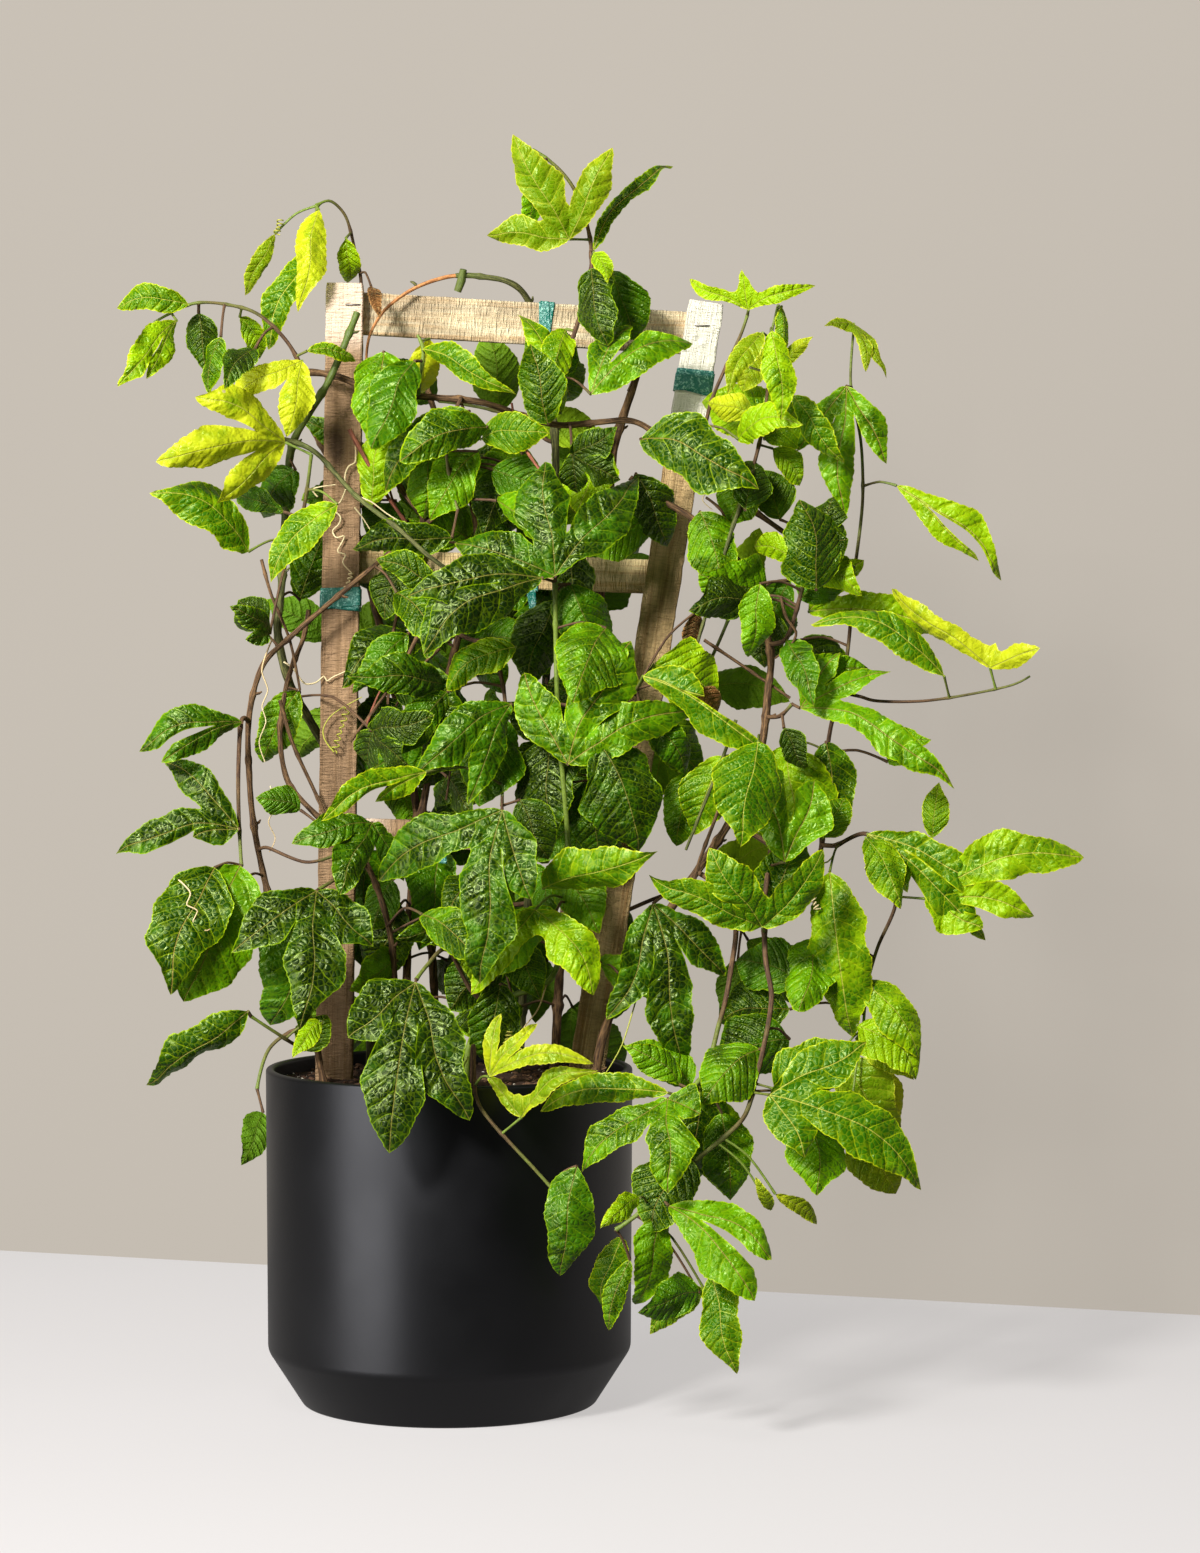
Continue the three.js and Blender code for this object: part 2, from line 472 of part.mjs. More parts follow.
// ---- Canes and leafy stems as lines
const lines = {};
const girth = {};
for (const [name, footR, tipR, , marks] of CANES) {
  lines[name] = rounded(marks.map((mark) => spot(...mark)));
  girth[name] = [footR, tipR];
}
for (const [name, parent, footR, tipR, marks] of STEMS) {
  const points = marks.map((mark) => spot(...mark));
  if (parent) points.unshift(nearestOn(lines[parent], points[0]));
  lines[name] = rounded(points);
  girth[name] = [footR, tipR];
}

// ---- A leaf set in space: its foot, its axes and its lobes. No two lean and turn alike.
function setLeaf([, width, roll, foot, tip, ...lobeMarks], number, shift, tilt) {
  const base = spot(foot[0], foot[1], foot[2] + shift);
  const lean = LEAF_LEAN * Math.sin(1.7 * number + 1);
  const along = spot(tip[0], tip[1], tip[2] + shift + tilt + lean).sub(base);
  const length = along.length();
  along.normalize();
  const eye = EYE.clone().sub(base).normalize();
  const facing = eye.addScaledVector(along, -eye.dot(along)).normalize();
  const beside = new THREE.Vector3().crossVectors(facing, along);
  const turn = THREE.MathUtils.degToRad(roll + LEAF_TURN * Math.sin(2.4 * number));
  const face = facing.clone().multiplyScalar(Math.cos(turn)).addScaledVector(beside, Math.sin(turn));
  const side = beside.multiplyScalar(Math.cos(turn)).addScaledVector(facing, -Math.sin(turn));
  const half = width * 0.35;
  const lobes = [{ angle: 0, length, half }];
  for (const [across, down] of lobeMarks) {
    const sight = spot(across, down, 0).sub(EYE);
    const reach = base.clone().sub(EYE).dot(face) / sight.dot(face);
    const mark = EYE.clone().addScaledVector(sight, reach).sub(base);
    const x = mark.dot(along);
    const y = mark.dot(side);
    lobes.push({ angle: Math.atan2(y, x), half: half * SIDE_LOBE_WIDTH,
      length: Math.min(Math.hypot(x, y), 1.25 * length) });
  }
  lobes.sort((a, b) => b.angle - a.angle);
  return { base, along, face, side, length, lobes };
}

const lobeHalf = (lobe, t) => lobe.half * Math.pow(4 * t * (1 - t), 0.7) * (1.08 - 0.16 * t);

// A point of a lobe: t along its midrib, w across it in half widths
function lobePoint(lobe, t, w) {
  const out = w * lobeHalf(lobe, t);
  return [lobe.length * t * Math.cos(lobe.angle) - out * Math.sin(lobe.angle),
    lobe.length * t * Math.sin(lobe.angle) + out * Math.cos(lobe.angle)];
}

function inSpace(leaf, [x, y], lift) {
  const r = Math.hypot(x, y) / leaf.length;
  const height = leaf.length * LEAF_BOW * 4 * r * (1 - r) - LEAF_FOLD * Math.abs(y) + lift;
  return leaf.base.clone().addScaledVector(leaf.along, x).addScaledVector(leaf.side, y)
    .addScaledVector(leaf.face, height);
}

// Leafstalk: from the stem, a little arched, to the blade's foot
function stalkLine(leaf, line) {
  const foot = nearestOn(line.slice(1), leaf.base);
  const away = leaf.base.distanceTo(foot);
  const middle = foot.clone().lerp(leaf.base, 0.5);
  middle.z += 0.12 * away;
  return away < 24 ? [foot, leaf.base] : [foot, middle, leaf.base];
}

// ---- Settling: each leaf keeps its place in elevation and moves back or forward until clear
const CHECK_T = [0.12, 0.3, 0.48, 0.66, 0.84, 1];
const CHECK_W = [-0.9, -0.3, 0.3, 0.9];

function checkPoints(leaf) {
  const points = [];
  for (const lobe of leaf.lobes) {
    for (const t of CHECK_T) {
      for (const w of CHECK_W) points.push(inSpace(leaf, lobePoint(lobe, t, w), 0));
    }
  }
  return points;
}

function spaced(line, step) {
  const points = [];
  for (let i = 0; i + 1 < line.length; i++) {
    const count = Math.max(1, Math.ceil(line[i].distanceTo(line[i + 1]) / step));
    for (let k = 0; k < count; k++) points.push(line[i].clone().lerp(line[i + 1], k / count));
  }
  points.push(line[line.length - 1]);
  return points;
}

function cluster(owner, points, slack) {
  const middle = new THREE.Vector3();
  points.forEach((p) => middle.add(p));
  middle.divideScalar(points.length);
  const radius = Math.max(...points.map((p) => p.distanceTo(middle)));
  return { owner, points, slack, middle, radius };
}

function boardClearance(point) {
  let least = Infinity;
  for (const board of frames) {
    const off = point.clone().sub(board.start);
    const u = Math.abs(off.dot(board.along) - board.length / 2) - board.length / 2;
    const v = Math.abs(off.dot(board.across)) - board.width / 2;
    const w = Math.abs(point.y - board.depth) - board.thick / 2;
    least = Math.min(least, Math.hypot(Math.max(u, 0), Math.max(v, 0), Math.max(w, 0)));
  }
  return least;
}

function potClearance(point) {
  if (point.z > POT_HEIGHT + 20) return 99;
  const outside = Math.hypot(point.x, point.y) - POT_RIM_R;
  return Math.max(outside, point.z - POT_HEIGHT);
}

function clearanceOf(points, group) {
  const centre = cluster('', points, 0);
  let least = 99;
  for (const other of group) {
    const far = centre.middle.distanceTo(other.middle) - centre.radius - other.radius;
    if (far > CLEARANCE + 4) continue;
    for (const p of points) {
      for (const q of other.points) {
        least = Math.min(least, p.distanceTo(q) + other.slack);
      }
    }
  }
  return least;
}

const settled = [];              // clusters of stems and of leaves already placed
for (const [name, line] of Object.entries(lines)) {
  settled.push(cluster(name, spaced(line, 6), -girth[name][0] / 2));
}

let placedLeaves = 0;
function settle(name, line, leaf) {
  const number = placedLeaves++;
  let best = null;
  const others = settled.filter((item) => item.owner !== name);
  const own = settled.filter((item) => item.owner === name && item.leaf);
  for (const shift of SHIFTS) {
    for (const tilt of TILTS) {
      const set = setLeaf(leaf, number, shift, tilt);
      const blade = checkPoints(set);
      const stalk = stalkLine(set, line);
      const stalkPoints = spaced(stalk, 7).slice(1);
      const edge = Math.min(...blade.map((p) => Math.min(boardClearance(p), potClearance(p))),
        ...stalkPoints.map((p) => Math.min(boardClearance(p), potClearance(p)) + 4));
      let least = Math.min(edge + 3, clearanceOf(blade, others));
      if (best && least < best.least) continue;
      least = Math.min(least, clearanceOf(stalkPoints, others.filter((item) => item.leaf)) + 1,
        clearanceOf(blade, own) + CLEARANCE - OWN_CLEARANCE);
      if (best === null || least > best.least + 1e-9) best = { least, set, stalk, blade };
      if (least >= CLEARANCE) break;
    }
    if (best.least >= CLEARANCE) break;
  }
  const placed = cluster(name, [...best.blade, ...spaced(best.stalk, 7).slice(2)], 0);
  placed.leaf = true;
  settled.push(placed);
  return best;
}

// ---- A leaf in one skin: rows of edge, midrib and edge points per lobe, joined at the
// sinuses, and a square leafstalk that grows out of the blade's foot
function leafSkin(leaf, stalk, thick) {
  const flat = [];
  const lifts = [];
  const addPoint = (xy, lift) => {
    flat.push(xy);
    lifts.push(lift);
    return flat.length - 1;
  };
  const root = addPoint([3, 0], 0);
  const rows = leaf.lobes.map((lobe) => {
    const steps = lobe.length > LONG_LOBE ? [0.33, 0.6, 0.83] : [0.38, 0.74];
    return (lobe.length < SHORT_LOBE ? [0.5] : steps).map((t, i) => {
      const wave = EDGE_WAVE * (i % 2 ? -1 : 1) * Math.min(1, lobe.half / 14);
      return { rib: addPoint(lobePoint(lobe, t, 0), 0), t, wave };
    });
  });
  const count = rows.length;
  const leftFoot = addPoint(lobePoint(leaf.lobes[0], 0.09, 1.15), 0);
  const rightFoot = addPoint(lobePoint(leaf.lobes[count - 1], 0.09, -1.15), 0);
  const leftRoot = addPoint([0, LEAFSTALK_R * 0.8], 0);
  const rightRoot = addPoint([0, -LEAFSTALK_R * 0.8], 0);
  const faces = [[root, leftFoot, leftRoot], [root, leftRoot, rightRoot],
    [root, rightRoot, rightFoot], [root, rows[0][0].rib, leftFoot]];
  const rim = [leftRoot, leftFoot];
  rows.forEach((row, k) => {
    const lobe = leaf.lobes[k];
    row.forEach((station, i) => {
      station.left = i === 0 && k > 0 ? rows[k - 1][0].right
        : addPoint(lobePoint(lobe, station.t, 1), station.wave);
      if (i === 0 && k < count - 1) {
        const a = lobePoint(lobe, station.t, -1);
        const b = lobePoint(leaf.lobes[k + 1], rows[k + 1][0].t, 1);
        station.right = addPoint([(a[0] + b[0]) / 2, (a[1] + b[1]) / 2], 0);
      } else {
        station.right = addPoint(lobePoint(lobe, station.t, -1), -station.wave);
      }
    });
    const tip = addPoint(lobePoint(lobe, 1, 0), 0);
    for (let i = 0; i + 1 < row.length; i++) {
      const a = row[i];
      const b = row[i + 1];
      faces.push([a.left, a.rib, b.left], [a.rib, b.rib, b.left]);
      faces.push([a.rib, a.right, b.rib], [a.right, b.right, b.rib]);
    }
    const end = row[row.length - 1];
    faces.push([end.left, end.rib, tip], [end.rib, end.right, tip]);
    rim.push(...row.slice(k === 0 ? 0 : 1).map((station) => station.left), tip,
      ...row.map((station) => station.right).reverse());
    if (k === 0) faces.push([leftFoot, row[0].rib, row[0].left]);
    else faces.push([root, row[0].rib, row[0].left]);
    faces.push([root, row[0].right, row[0].rib]);
  });
  const lastRow = rows[count - 1][0];
  faces.push([root, rightFoot, lastRow.right]);
  rim.push(rightFoot, rightRoot);
  const size = flat.length;
  const points = [thick / 2, -thick / 2].flatMap((offset) =>
    flat.map((xy, i) => inSpace(leaf, xy, lifts[i] + offset)));
  const skin = faces.flatMap(([a, b, c]) => [[a, b, c], [a + size, c + size, b + size]]);
  for (let i = 0; i + 1 < rim.length; i++) {
    const a = rim[i];
    const b = rim[i + 1];
    skin.push([a, b, b + size], [a, b + size, a + size]);
  }
  let ring = [leftRoot, rightRoot, rightRoot + size, leftRoot + size];
  let heading = leaf.along.clone().negate();
  const side = leaf.side.clone();
  const face = leaf.face.clone();
  for (let i = stalk.length - 2; i >= 0; i--) {
    const course = stalk[i].clone().sub(stalk[i + 1]).normalize();
    const swing = new THREE.Quaternion().setFromUnitVectors(heading, course);
    side.applyQuaternion(swing);
    face.applyQuaternion(swing);
    heading = course;
    const next = [[1, 1], [-1, 1], [-1, -1], [1, -1]].map(([a, b]) => points.push(stalk[i].clone()
      .addScaledVector(side, a * LEAFSTALK_R * 0.8)
      .addScaledVector(face, b * LEAFSTALK_R * 0.8)) - 1);
    for (let k = 0; k < 4; k++) {
      const n = (k + 1) % 4;
      skin.push([ring[n], ring[k], next[k]], [ring[n], next[k], next[n]]);
    }
    ring = next;
  }
  skin.push([ring[1], ring[0], ring[3]], [ring[1], ring[3], ring[2]]);
  return { points, skin };
}

function turned(points, all) {
  let volume = 0;
  for (const [a, b, c] of all) {
    volume += points[a].dot(new THREE.Vector3().crossVectors(points[b], points[c]));
  }
  return solidOf(geometryFrom(points, volume < 0 ? all.map(([a, b, c]) => [a, c, b]) : all));
}

// ---- Build
const plant = new THREE.Group();
plant.name = 'passion_flower_vine';
function place(name, solid, key) {
  const mesh = new THREE.Mesh(geometryOf(solid), paint(key));
  mesh.name = name;
  plant.add(mesh);
}

function lathed(profile) {
  const outline = profile.map(([r, z]) => new THREE.Vector2(r, z));
  return solidOf(new THREE.LatheGeometry(outline, POT_SIDES).rotateX(Math.PI / 2));
}
const innerR = POT_RIM_R - POT_WALL;
place('pot', lathed([[0, 0], [POT_BASE_R - 1.5, 0], [POT_BASE_R, 1.5],
  [POT_CREASE_R, POT_CREASE_Z], [POT_RIM_R, POT_HEIGHT - 1.5], [POT_RIM_R - 1, POT_HEIGHT],
  [innerR + 1, POT_HEIGHT], [innerR, POT_HEIGHT - 1], [innerR - 1, POT_CREASE_Z + 4],
  [POT_BASE_R - 5, POT_FLOOR], [0, POT_FLOOR]]), 'pot');

// A stem's sides: three on the thin ones
const sidesOf = Object.fromEntries([...CANES.map(([name, , , sides]) => [name, sides]),
  ...STEMS.map(([name, , footR]) => [name, footR < 1.75 ? 3 : 4])]);
let mix = lathed([[0, POT_FLOOR + GAP], [POT_BASE_R - 5.6, POT_FLOOR + GAP],
  [innerR - 1 - GAP, POT_CREASE_Z + 4.4], [innerR - GAP, MIX_TOP - 2], [innerR - 6, MIX_TOP],
  [0, MIX_TOP + 3]]);
for (const name of [...CANES, ...STEMS.filter(([, parent]) => !parent)].map((row) => row[0])) {
  const holeR = girth[name][0] + GAP;
  mix = mix.subtract(stick(lines[name].slice(0, 3), holeR, holeR, sidesOf[name]));
}
for (const board of frames.slice(0, 2)) mix = mix.subtract(boardSolid(board, GAP));
place('potting_mix', mix, 'mix');

for (const board of frames) {
  place(board.name, boardSolid(board, 0), board.name.includes('right') ? 'old_pine' : 'pine');
}

for (const [name, boardName, along, width, tail] of BANDS) {
  const board = frameOf[boardName];
  const grow = 2 * (GAP + TAPE_THICK);
  let band = placedBox(board, board.width + grow, board.thick + grow, width, along, 0, 0)
    .subtract(placedBox(board, board.width + 2 * GAP, board.thick + 2 * GAP, width + 4, along, 0, 0));
  if (tail) {
    const sign = board.across.z > 0 ? -1 : 1;
    const reach = board.width / 2 + tail / 2 - 1;
    band = band.add(placedBox(board, tail + 2, TAPE_THICK, width * 0.8, along,
      -board.thick / 2 - GAP - TAPE_THICK / 2, sign * reach));
  }
  place(name, band, 'tape');
}

const STAPLE = [10, 0.9, 1.4];   // crown along the staple, proud, thick
for (const [name, across, down, faceSide] of STAPLES) {
  const depth = faceSide < 0 ? -BOARD_THICK / 2 - GAP - STAPLE[1] / 2
    : SLAT_DEPTH + SLAT_THICK / 2 + GAP + STAPLE[1] / 2;
  const at = spot(across, down, depth);
  place(name, solidOf(new THREE.BoxGeometry(...STAPLE).translate(at.x, at.y, at.z)), 'steel');
}

const rooted = new Set(STEMS.filter(([, parent]) => parent).map(([name]) => name));
const stemSolid = (name, extra) => stick(lines[name], girth[name][0] + extra,
  girth[name][1] + extra, sidesOf[name], rooted.has(name));
for (const [name] of CANES) {
  place(name, stemSolid(name, 0), name === 'cane_left' ? 'green_bark' : 'bark');
}

for (const [name, parent, , , , leaves] of STEMS) {
  let shoot = stemSolid(name, 0);
  for (const leaf of leaves) {
    const { set, stalk } = settle(name, lines[name], leaf);
    const { points, skin } = leafSkin(set, stalk, BLADE_THICK[leaf[0]]);
    shoot = shoot.add(turned(points, skin));
  }
  if (parent) shoot = shoot.subtract(stemSolid(parent, GAP));
  place(name, shoot, 'leaf');
}

export default plant;
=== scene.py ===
import math

import bpy
import numpy as np
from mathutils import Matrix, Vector, noise


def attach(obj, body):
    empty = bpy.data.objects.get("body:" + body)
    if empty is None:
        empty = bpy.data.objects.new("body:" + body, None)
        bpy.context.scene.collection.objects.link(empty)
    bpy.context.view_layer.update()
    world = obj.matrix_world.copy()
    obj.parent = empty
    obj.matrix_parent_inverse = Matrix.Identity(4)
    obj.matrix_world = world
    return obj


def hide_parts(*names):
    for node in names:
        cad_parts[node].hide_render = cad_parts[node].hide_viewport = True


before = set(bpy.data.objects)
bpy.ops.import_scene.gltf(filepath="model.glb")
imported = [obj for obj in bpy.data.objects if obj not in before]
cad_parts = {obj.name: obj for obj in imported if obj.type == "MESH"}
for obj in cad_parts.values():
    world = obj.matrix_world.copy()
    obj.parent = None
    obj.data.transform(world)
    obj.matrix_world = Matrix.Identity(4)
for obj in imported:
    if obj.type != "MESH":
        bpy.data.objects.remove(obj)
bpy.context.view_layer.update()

# ---- Studio. A pale floor and a warm grey wall that stands a little askew behind the pot. A tall
# soft box at the left gives the pot its long highlight, a small lamp high at the left picks out
# the leaves, and weak screens overhead and at the right keep the shaded sides open.
EYE = np.array([105.7, -2716.0, 528.0])       # millimetres
FRAME_HEIGHT = 1553                           # sheet steps in the height of the camera's frame
SHEET_REACH = 3880.0                          # steps from the eye to the sheet
SHEET_MID_ACROSS, SHEET_MID_DOWN = 600, 649
FLOOR_REACH, WALL_REACH, WALL_HEIGHT = 6, 3.5, 4   # metres
WORLD_LIGHT = 0.02
BOUNCE_FLAG, BACK_FLAG = 0.97, 0.66           # how far the backdrop is kept out of the reflections
FLAG_FROM, FLAG_TO = -0.5, -0.1


def paint(red, green, blue):
    """A colour in steps of 0 to 255, as a linear colour."""
    return tuple(((c / 255 + 0.055) / 1.055) ** 2.4 for c in (red, green, blue)) + (1.0,)


def add_node(tree, kind, inputs=None, **settings):
    """A node with its settings, and its sockets set to values or joined to other sockets."""
    made = tree.nodes.new(kind)
    for key, value in settings.items():
        setattr(made, key, value)
    for key, value in (inputs or {}).items():
        if isinstance(value, bpy.types.NodeSocket):
            tree.links.new(value, made.inputs[key])
        else:
            made.inputs[key].default_value = value
    return made


def ramp(tree, value, low, high, at_low=0.0, at_high=1.0, even=False):
    """A value carried from one range to another, eased at both ends unless it is even."""
    return add_node(tree, "ShaderNodeMapRange", {
        0: value, 1: low, 2: high, 3: at_low, 4: at_high},
        interpolation_type="LINEAR" if even else "SMOOTHSTEP").outputs[0]


def sums(tree, kind, a, b=0.0, c=0.0):
    return add_node(tree, "ShaderNodeMath", {0: a, 1: b, 2: c}, operation=kind).outputs[0]


def times(tree, a, b):
    return sums(tree, "MULTIPLY", a, b)


def blend(tree, share, a, b):
    return add_node(tree, "ShaderNodeMix", {0: share, 6: a, 7: b}, data_type="RGBA").outputs[2]


def cloudy(tree, place, scale, **more):
    """Soft noise over a place, with its Detail, Roughness and Distortion."""
    return add_node(tree, "ShaderNodeTexNoise", {
        "Vector": place, "Scale": scale, **more}).outputs[0]


def object_place(tree):
    return add_node(tree, "ShaderNodeTexCoord").outputs["Object"]


def parted(tree, vector):
    """The X, Y and Z of a vector."""
    return add_node(tree, "ShaderNodeSeparateXYZ", {0: vector}).outputs


def new_material(name, **sockets):
    """A material with one main shader. Socket names are written with _ for a space."""
    material = bpy.data.materials.new(name)
    material.use_nodes = True
    shader = material.node_tree.nodes["Principled BSDF"]
    for key, value in sockets.items():
        shader.inputs[key.replace("_", " ")].default_value = value
    return material, material.node_tree, shader


def new_object(name, mesh):
    thing = bpy.data.objects.new(name, mesh)
    bpy.context.scene.collection.objects.link(thing)
    return thing


def new_mesh(name, points, faces, materials=(), edges=(), smooth=True, **values):
    """A mesh with its materials and with values of its own at each point."""
    mesh = bpy.data.meshes.new(name)
    mesh.from_pydata(points, edges, faces)
    for label, data in values.items():
        data = np.array(data, dtype=np.float32)
        kind, key = ("FLOAT_VECTOR", "vector") if data.ndim == 2 else ("FLOAT", "value")
        mesh.attributes.new(label, kind, "POINT").data.foreach_set(key, data.ravel())
    for material in materials:
        mesh.materials.append(material)
    if smooth:
        mesh.shade_smooth()
    return mesh


camera_data = bpy.data.cameras.new("camera")
camera_data.sensor_width = 36
camera_data.lens = 36 * SHEET_REACH / FRAME_HEIGHT
camera = new_object("camera", camera_data)
camera.location = EYE / 1000
sight_drop = math.atan((FRAME_HEIGHT / 2 - SHEET_MID_DOWN) / SHEET_REACH)
camera.rotation_euler = (math.pi / 2 - sight_drop, 0, 0)
bpy.context.scene.camera = camera
bpy.context.scene.view_settings.view_transform = "Standard"

world = bpy.data.worlds.new("studio")
world.use_nodes = True
world.node_tree.nodes["Background"].inputs["Color"].default_value = paint(204, 202, 200)
world.node_tree.nodes["Background"].inputs["Strength"].default_value = WORLD_LIGHT
bpy.context.scene.world = world

for name, place, aim, size, power in (
    ("soft_box_left", (-1.87, -1.62, 0.7), (0, 0, 0.7), (1.5, 2.8), 56),
    ("key_high_left", (-0.95, -2.05, 1.7), (0.1, 0, 0.5), (0.42, 0.42), 92),
    ("screen_overhead", (-0.15, -1.0, 1.75), (0.1, 0.1, 0.4), (0.6, 0.5), 4),
    ("screen_right", (2.1, -1.5, 1.3), (0.1, 0, 0.4), (0.5, 1.2), 2),
):
    lamp = bpy.data.lights.new(name, "AREA")
    lamp.shape, lamp.size, lamp.size_y, lamp.energy = "RECTANGLE", size[0], size[1], power
    lamp_object = new_object(name, lamp)
    lamp_object.location = place
    toward = Vector(aim) - Vector(place)
    lamp_object.rotation_euler = toward.to_track_quat("-Z", "Y").to_euler()


def stage_sheet(name, corners, colour, glow, flag):
    """A backdrop that is lit through from behind, so that shadows on it stay faint."""
    material, tree, shader = new_material(
        name, Roughness=0.9, Specular_IOR_Level=0.2, Emission_Strength=glow,
        Base_Color=tuple((1 - glow) * c for c in colour[:3]) + (1,))
    sheet = new_object(name, new_mesh(name, corners, [range(len(corners))], [material],
                                      smooth=False))
    place = object_place(tree)
    duller = tuple(0.97 * c for c in colour[:3]) + (1,)
    tree.links.new(blend(tree, cloudy(tree, place, 3.0), colour, duller),
                   shader.inputs["Emission Color"])
    # In front of the pot it shows in the gloss only dimly, as past a black flag, and the soft box
    # goes on below it, so that the pot's highlight runs down to its foot
    path = add_node(tree, "ShaderNodeLightPath").outputs
    near = ramp(tree, parted(tree, place)["Y"], FLAG_FROM, FLAG_TO, flag, flag * BACK_FLAG)
    lit = sums(tree, "MULTIPLY_ADD", path["Is Diffuse Ray"], BOUNCE_FLAG, path["Is Shadow Ray"])
    flagged = add_node(tree, "ShaderNodeMixShader", {
        0: sums(tree, "MULTIPLY_ADD", path["Is Glossy Ray"], near, lit),
        1: shader.outputs[0], 2: add_node(tree, "ShaderNodeBsdfTransparent").outputs[0]})
    tree.links.new(flagged.outputs[0], tree.nodes["Material Output"].inputs["Surface"])
    return tree, flagged


stage_sheet("floor", [(x * FLOOR_REACH, y * FLOOR_REACH, 0)
                      for x, y in ((-1, -1), (1, -1), (1, 1), (-1, 1))],
            paint(231, 227, 225), 0.68, 0.96)
wall_left, wall_right = Vector((-0.419, 0.676, 0)), Vector((0.579, 0.346, 0))
wall_run = (wall_right - wall_left).normalized()
wall_from, wall_to = wall_left - WALL_REACH * wall_run, wall_right + WALL_REACH * wall_run
rise = Vector((0, 0, WALL_HEIGHT))
wall_tree, wall_skin = stage_sheet("wall", [
    wall_from, wall_to, wall_to + rise, wall_from + rise], paint(193, 185, 174), 0.88, 0.7)
# Seen from behind, the wall is clear, so that it never hides the pot
clear = add_node(wall_tree, "ShaderNodeBsdfTransparent")
either = add_node(wall_tree, "ShaderNodeMixShader", {
    0: add_node(wall_tree, "ShaderNodeNewGeometry").outputs["Backfacing"],
    1: wall_skin.outputs[0], 2: clear.outputs[0]})
wall_tree.links.new(either.outputs[0], wall_tree.nodes["Material Output"].inputs["Surface"])

# ---- Pot. A round planter of satin black glazed clay: straight sides that run out a little to a
# soft lip, and a foot that slopes in below a crease. It is turned, so one profile gives it all.
POT_HEIGHT, POT_RIM_R, POT_CREASE_R, POT_CREASE_Z = 235.0, 128.5, 127.4, 38.0
POT_BASE_R, POT_WALL, POT_FLOOR = 103.0, 6.0, 8.0
POT_INNER_R = POT_RIM_R - POT_WALL
POT_SIDES, MIX_SIDES = 160, 120


def softened(profile, radii):
    """A profile with an arc of four steps in place of each corner."""
    line = [profile[0]]
    for before, corner, after, radius in zip(profile, profile[1:], profile[2:], radii):
        a = corner + (before - corner).normalized() * radius
        b = corner + (after - corner).normalized() * radius
        for k in range(5):
            t = k / 4
            line.append(a * (1 - t) ** 2 + corner * 2 * t * (1 - t) + b * t * t)
    return line + [profile[-1]]


def turned(name, profile, sides, material, relief=None):
    """A turned body: a profile of (radius, height) in mm that starts and ends on the axis."""
    points, faces = [], []
    for r, z in profile:
        for k in range(sides if r > 0 else 1):
            turn = 2 * math.pi * k / sides
            x, y = r * math.cos(turn), r * math.sin(turn)
            points.append((x / 1000, y / 1000, (z + (relief(x, y, z) if relief else 0)) / 1000))
    start = 0
    for (r, _), (following, _) in zip(profile, profile[1:]):
        reach = sides if r > 0 else 1
        for k in range(sides):
            n = (k + 1) % sides
            if reach == 1:
                faces.append((start, start + 1 + n, start + 1 + k))
            elif following == 0:
                faces.append((start + k, start + n, start + sides))
            else:
                faces.append((start + k, start + n, start + sides + n, start + sides + k))
        start += reach
    return new_object(name, new_mesh(name, points, faces, [material]))


FINISH = {"Colour": "Color", "Roughness": "Float", "Height": "Float"}


def new_group(name, kind, takes, gives=FINISH):
    """A node tree with named sockets, and what it is given."""
    tree = bpy.data.node_groups.new(name, kind + "NodeTree")
    for way, sockets in (("INPUT", takes), ("OUTPUT", gives)):
        for label, socket in sockets.items():
            tree.interface.new_socket(label, in_out=way, socket_type="NodeSocket" + socket)
    return tree, add_node(tree, "NodeGroupInput").outputs


def speck_group():
    """Dust and fine mottling, for any surface: a colour, a roughness and a height."""
    tree, given = new_group("fine_mottle", "Shader", {
        "Colour": "Color", "Dust": "Color", "Amount": "Float", "Grain": "Float",
        "Roughness": "Float"})
    place = object_place(tree)
    wide = ramp(tree, cloudy(tree, place, 11.0, Detail=3.0), 0.42, 0.72)
    share = times(tree, wide, given["Amount"])
    add_node(tree, "NodeGroupOutput", {
        "Colour": blend(tree, share, given["Colour"], given["Dust"]),
        "Roughness": sums(tree, "MULTIPLY_ADD", share, 0.25, given["Roughness"]),
        "Height": cloudy(tree, place, given["Grain"], Detail=4.0, Roughness=0.6)})
    return tree


fine_mottle = speck_group()


def skinned(name, group, relief, values, **sockets):
    """A material whose colour, roughness and relief (metres deep) come from a node group."""
    material, tree, shader = new_material(name, **sockets)
    skin = add_node(tree, "ShaderNodeGroup", values, node_tree=group).outputs
    bump = add_node(tree, "ShaderNodeBump", {
        "Distance": relief, "Height": skin["Height"]}).outputs[0]
    for socket, source in (("Base Color", skin["Colour"]), ("Roughness", skin["Roughness"]),
                           ("Normal", bump)):
        tree.links.new(source, shader.inputs[socket])
    return material, tree, shader, skin, bump


def mottled(name, colour, dust, amount, grain, rough, relief, **sockets):
    return skinned(name, fine_mottle, relief, {
        "Colour": colour, "Dust": dust, "Amount": amount, "Grain": grain, "Roughness": rough},
        **sockets)[0]


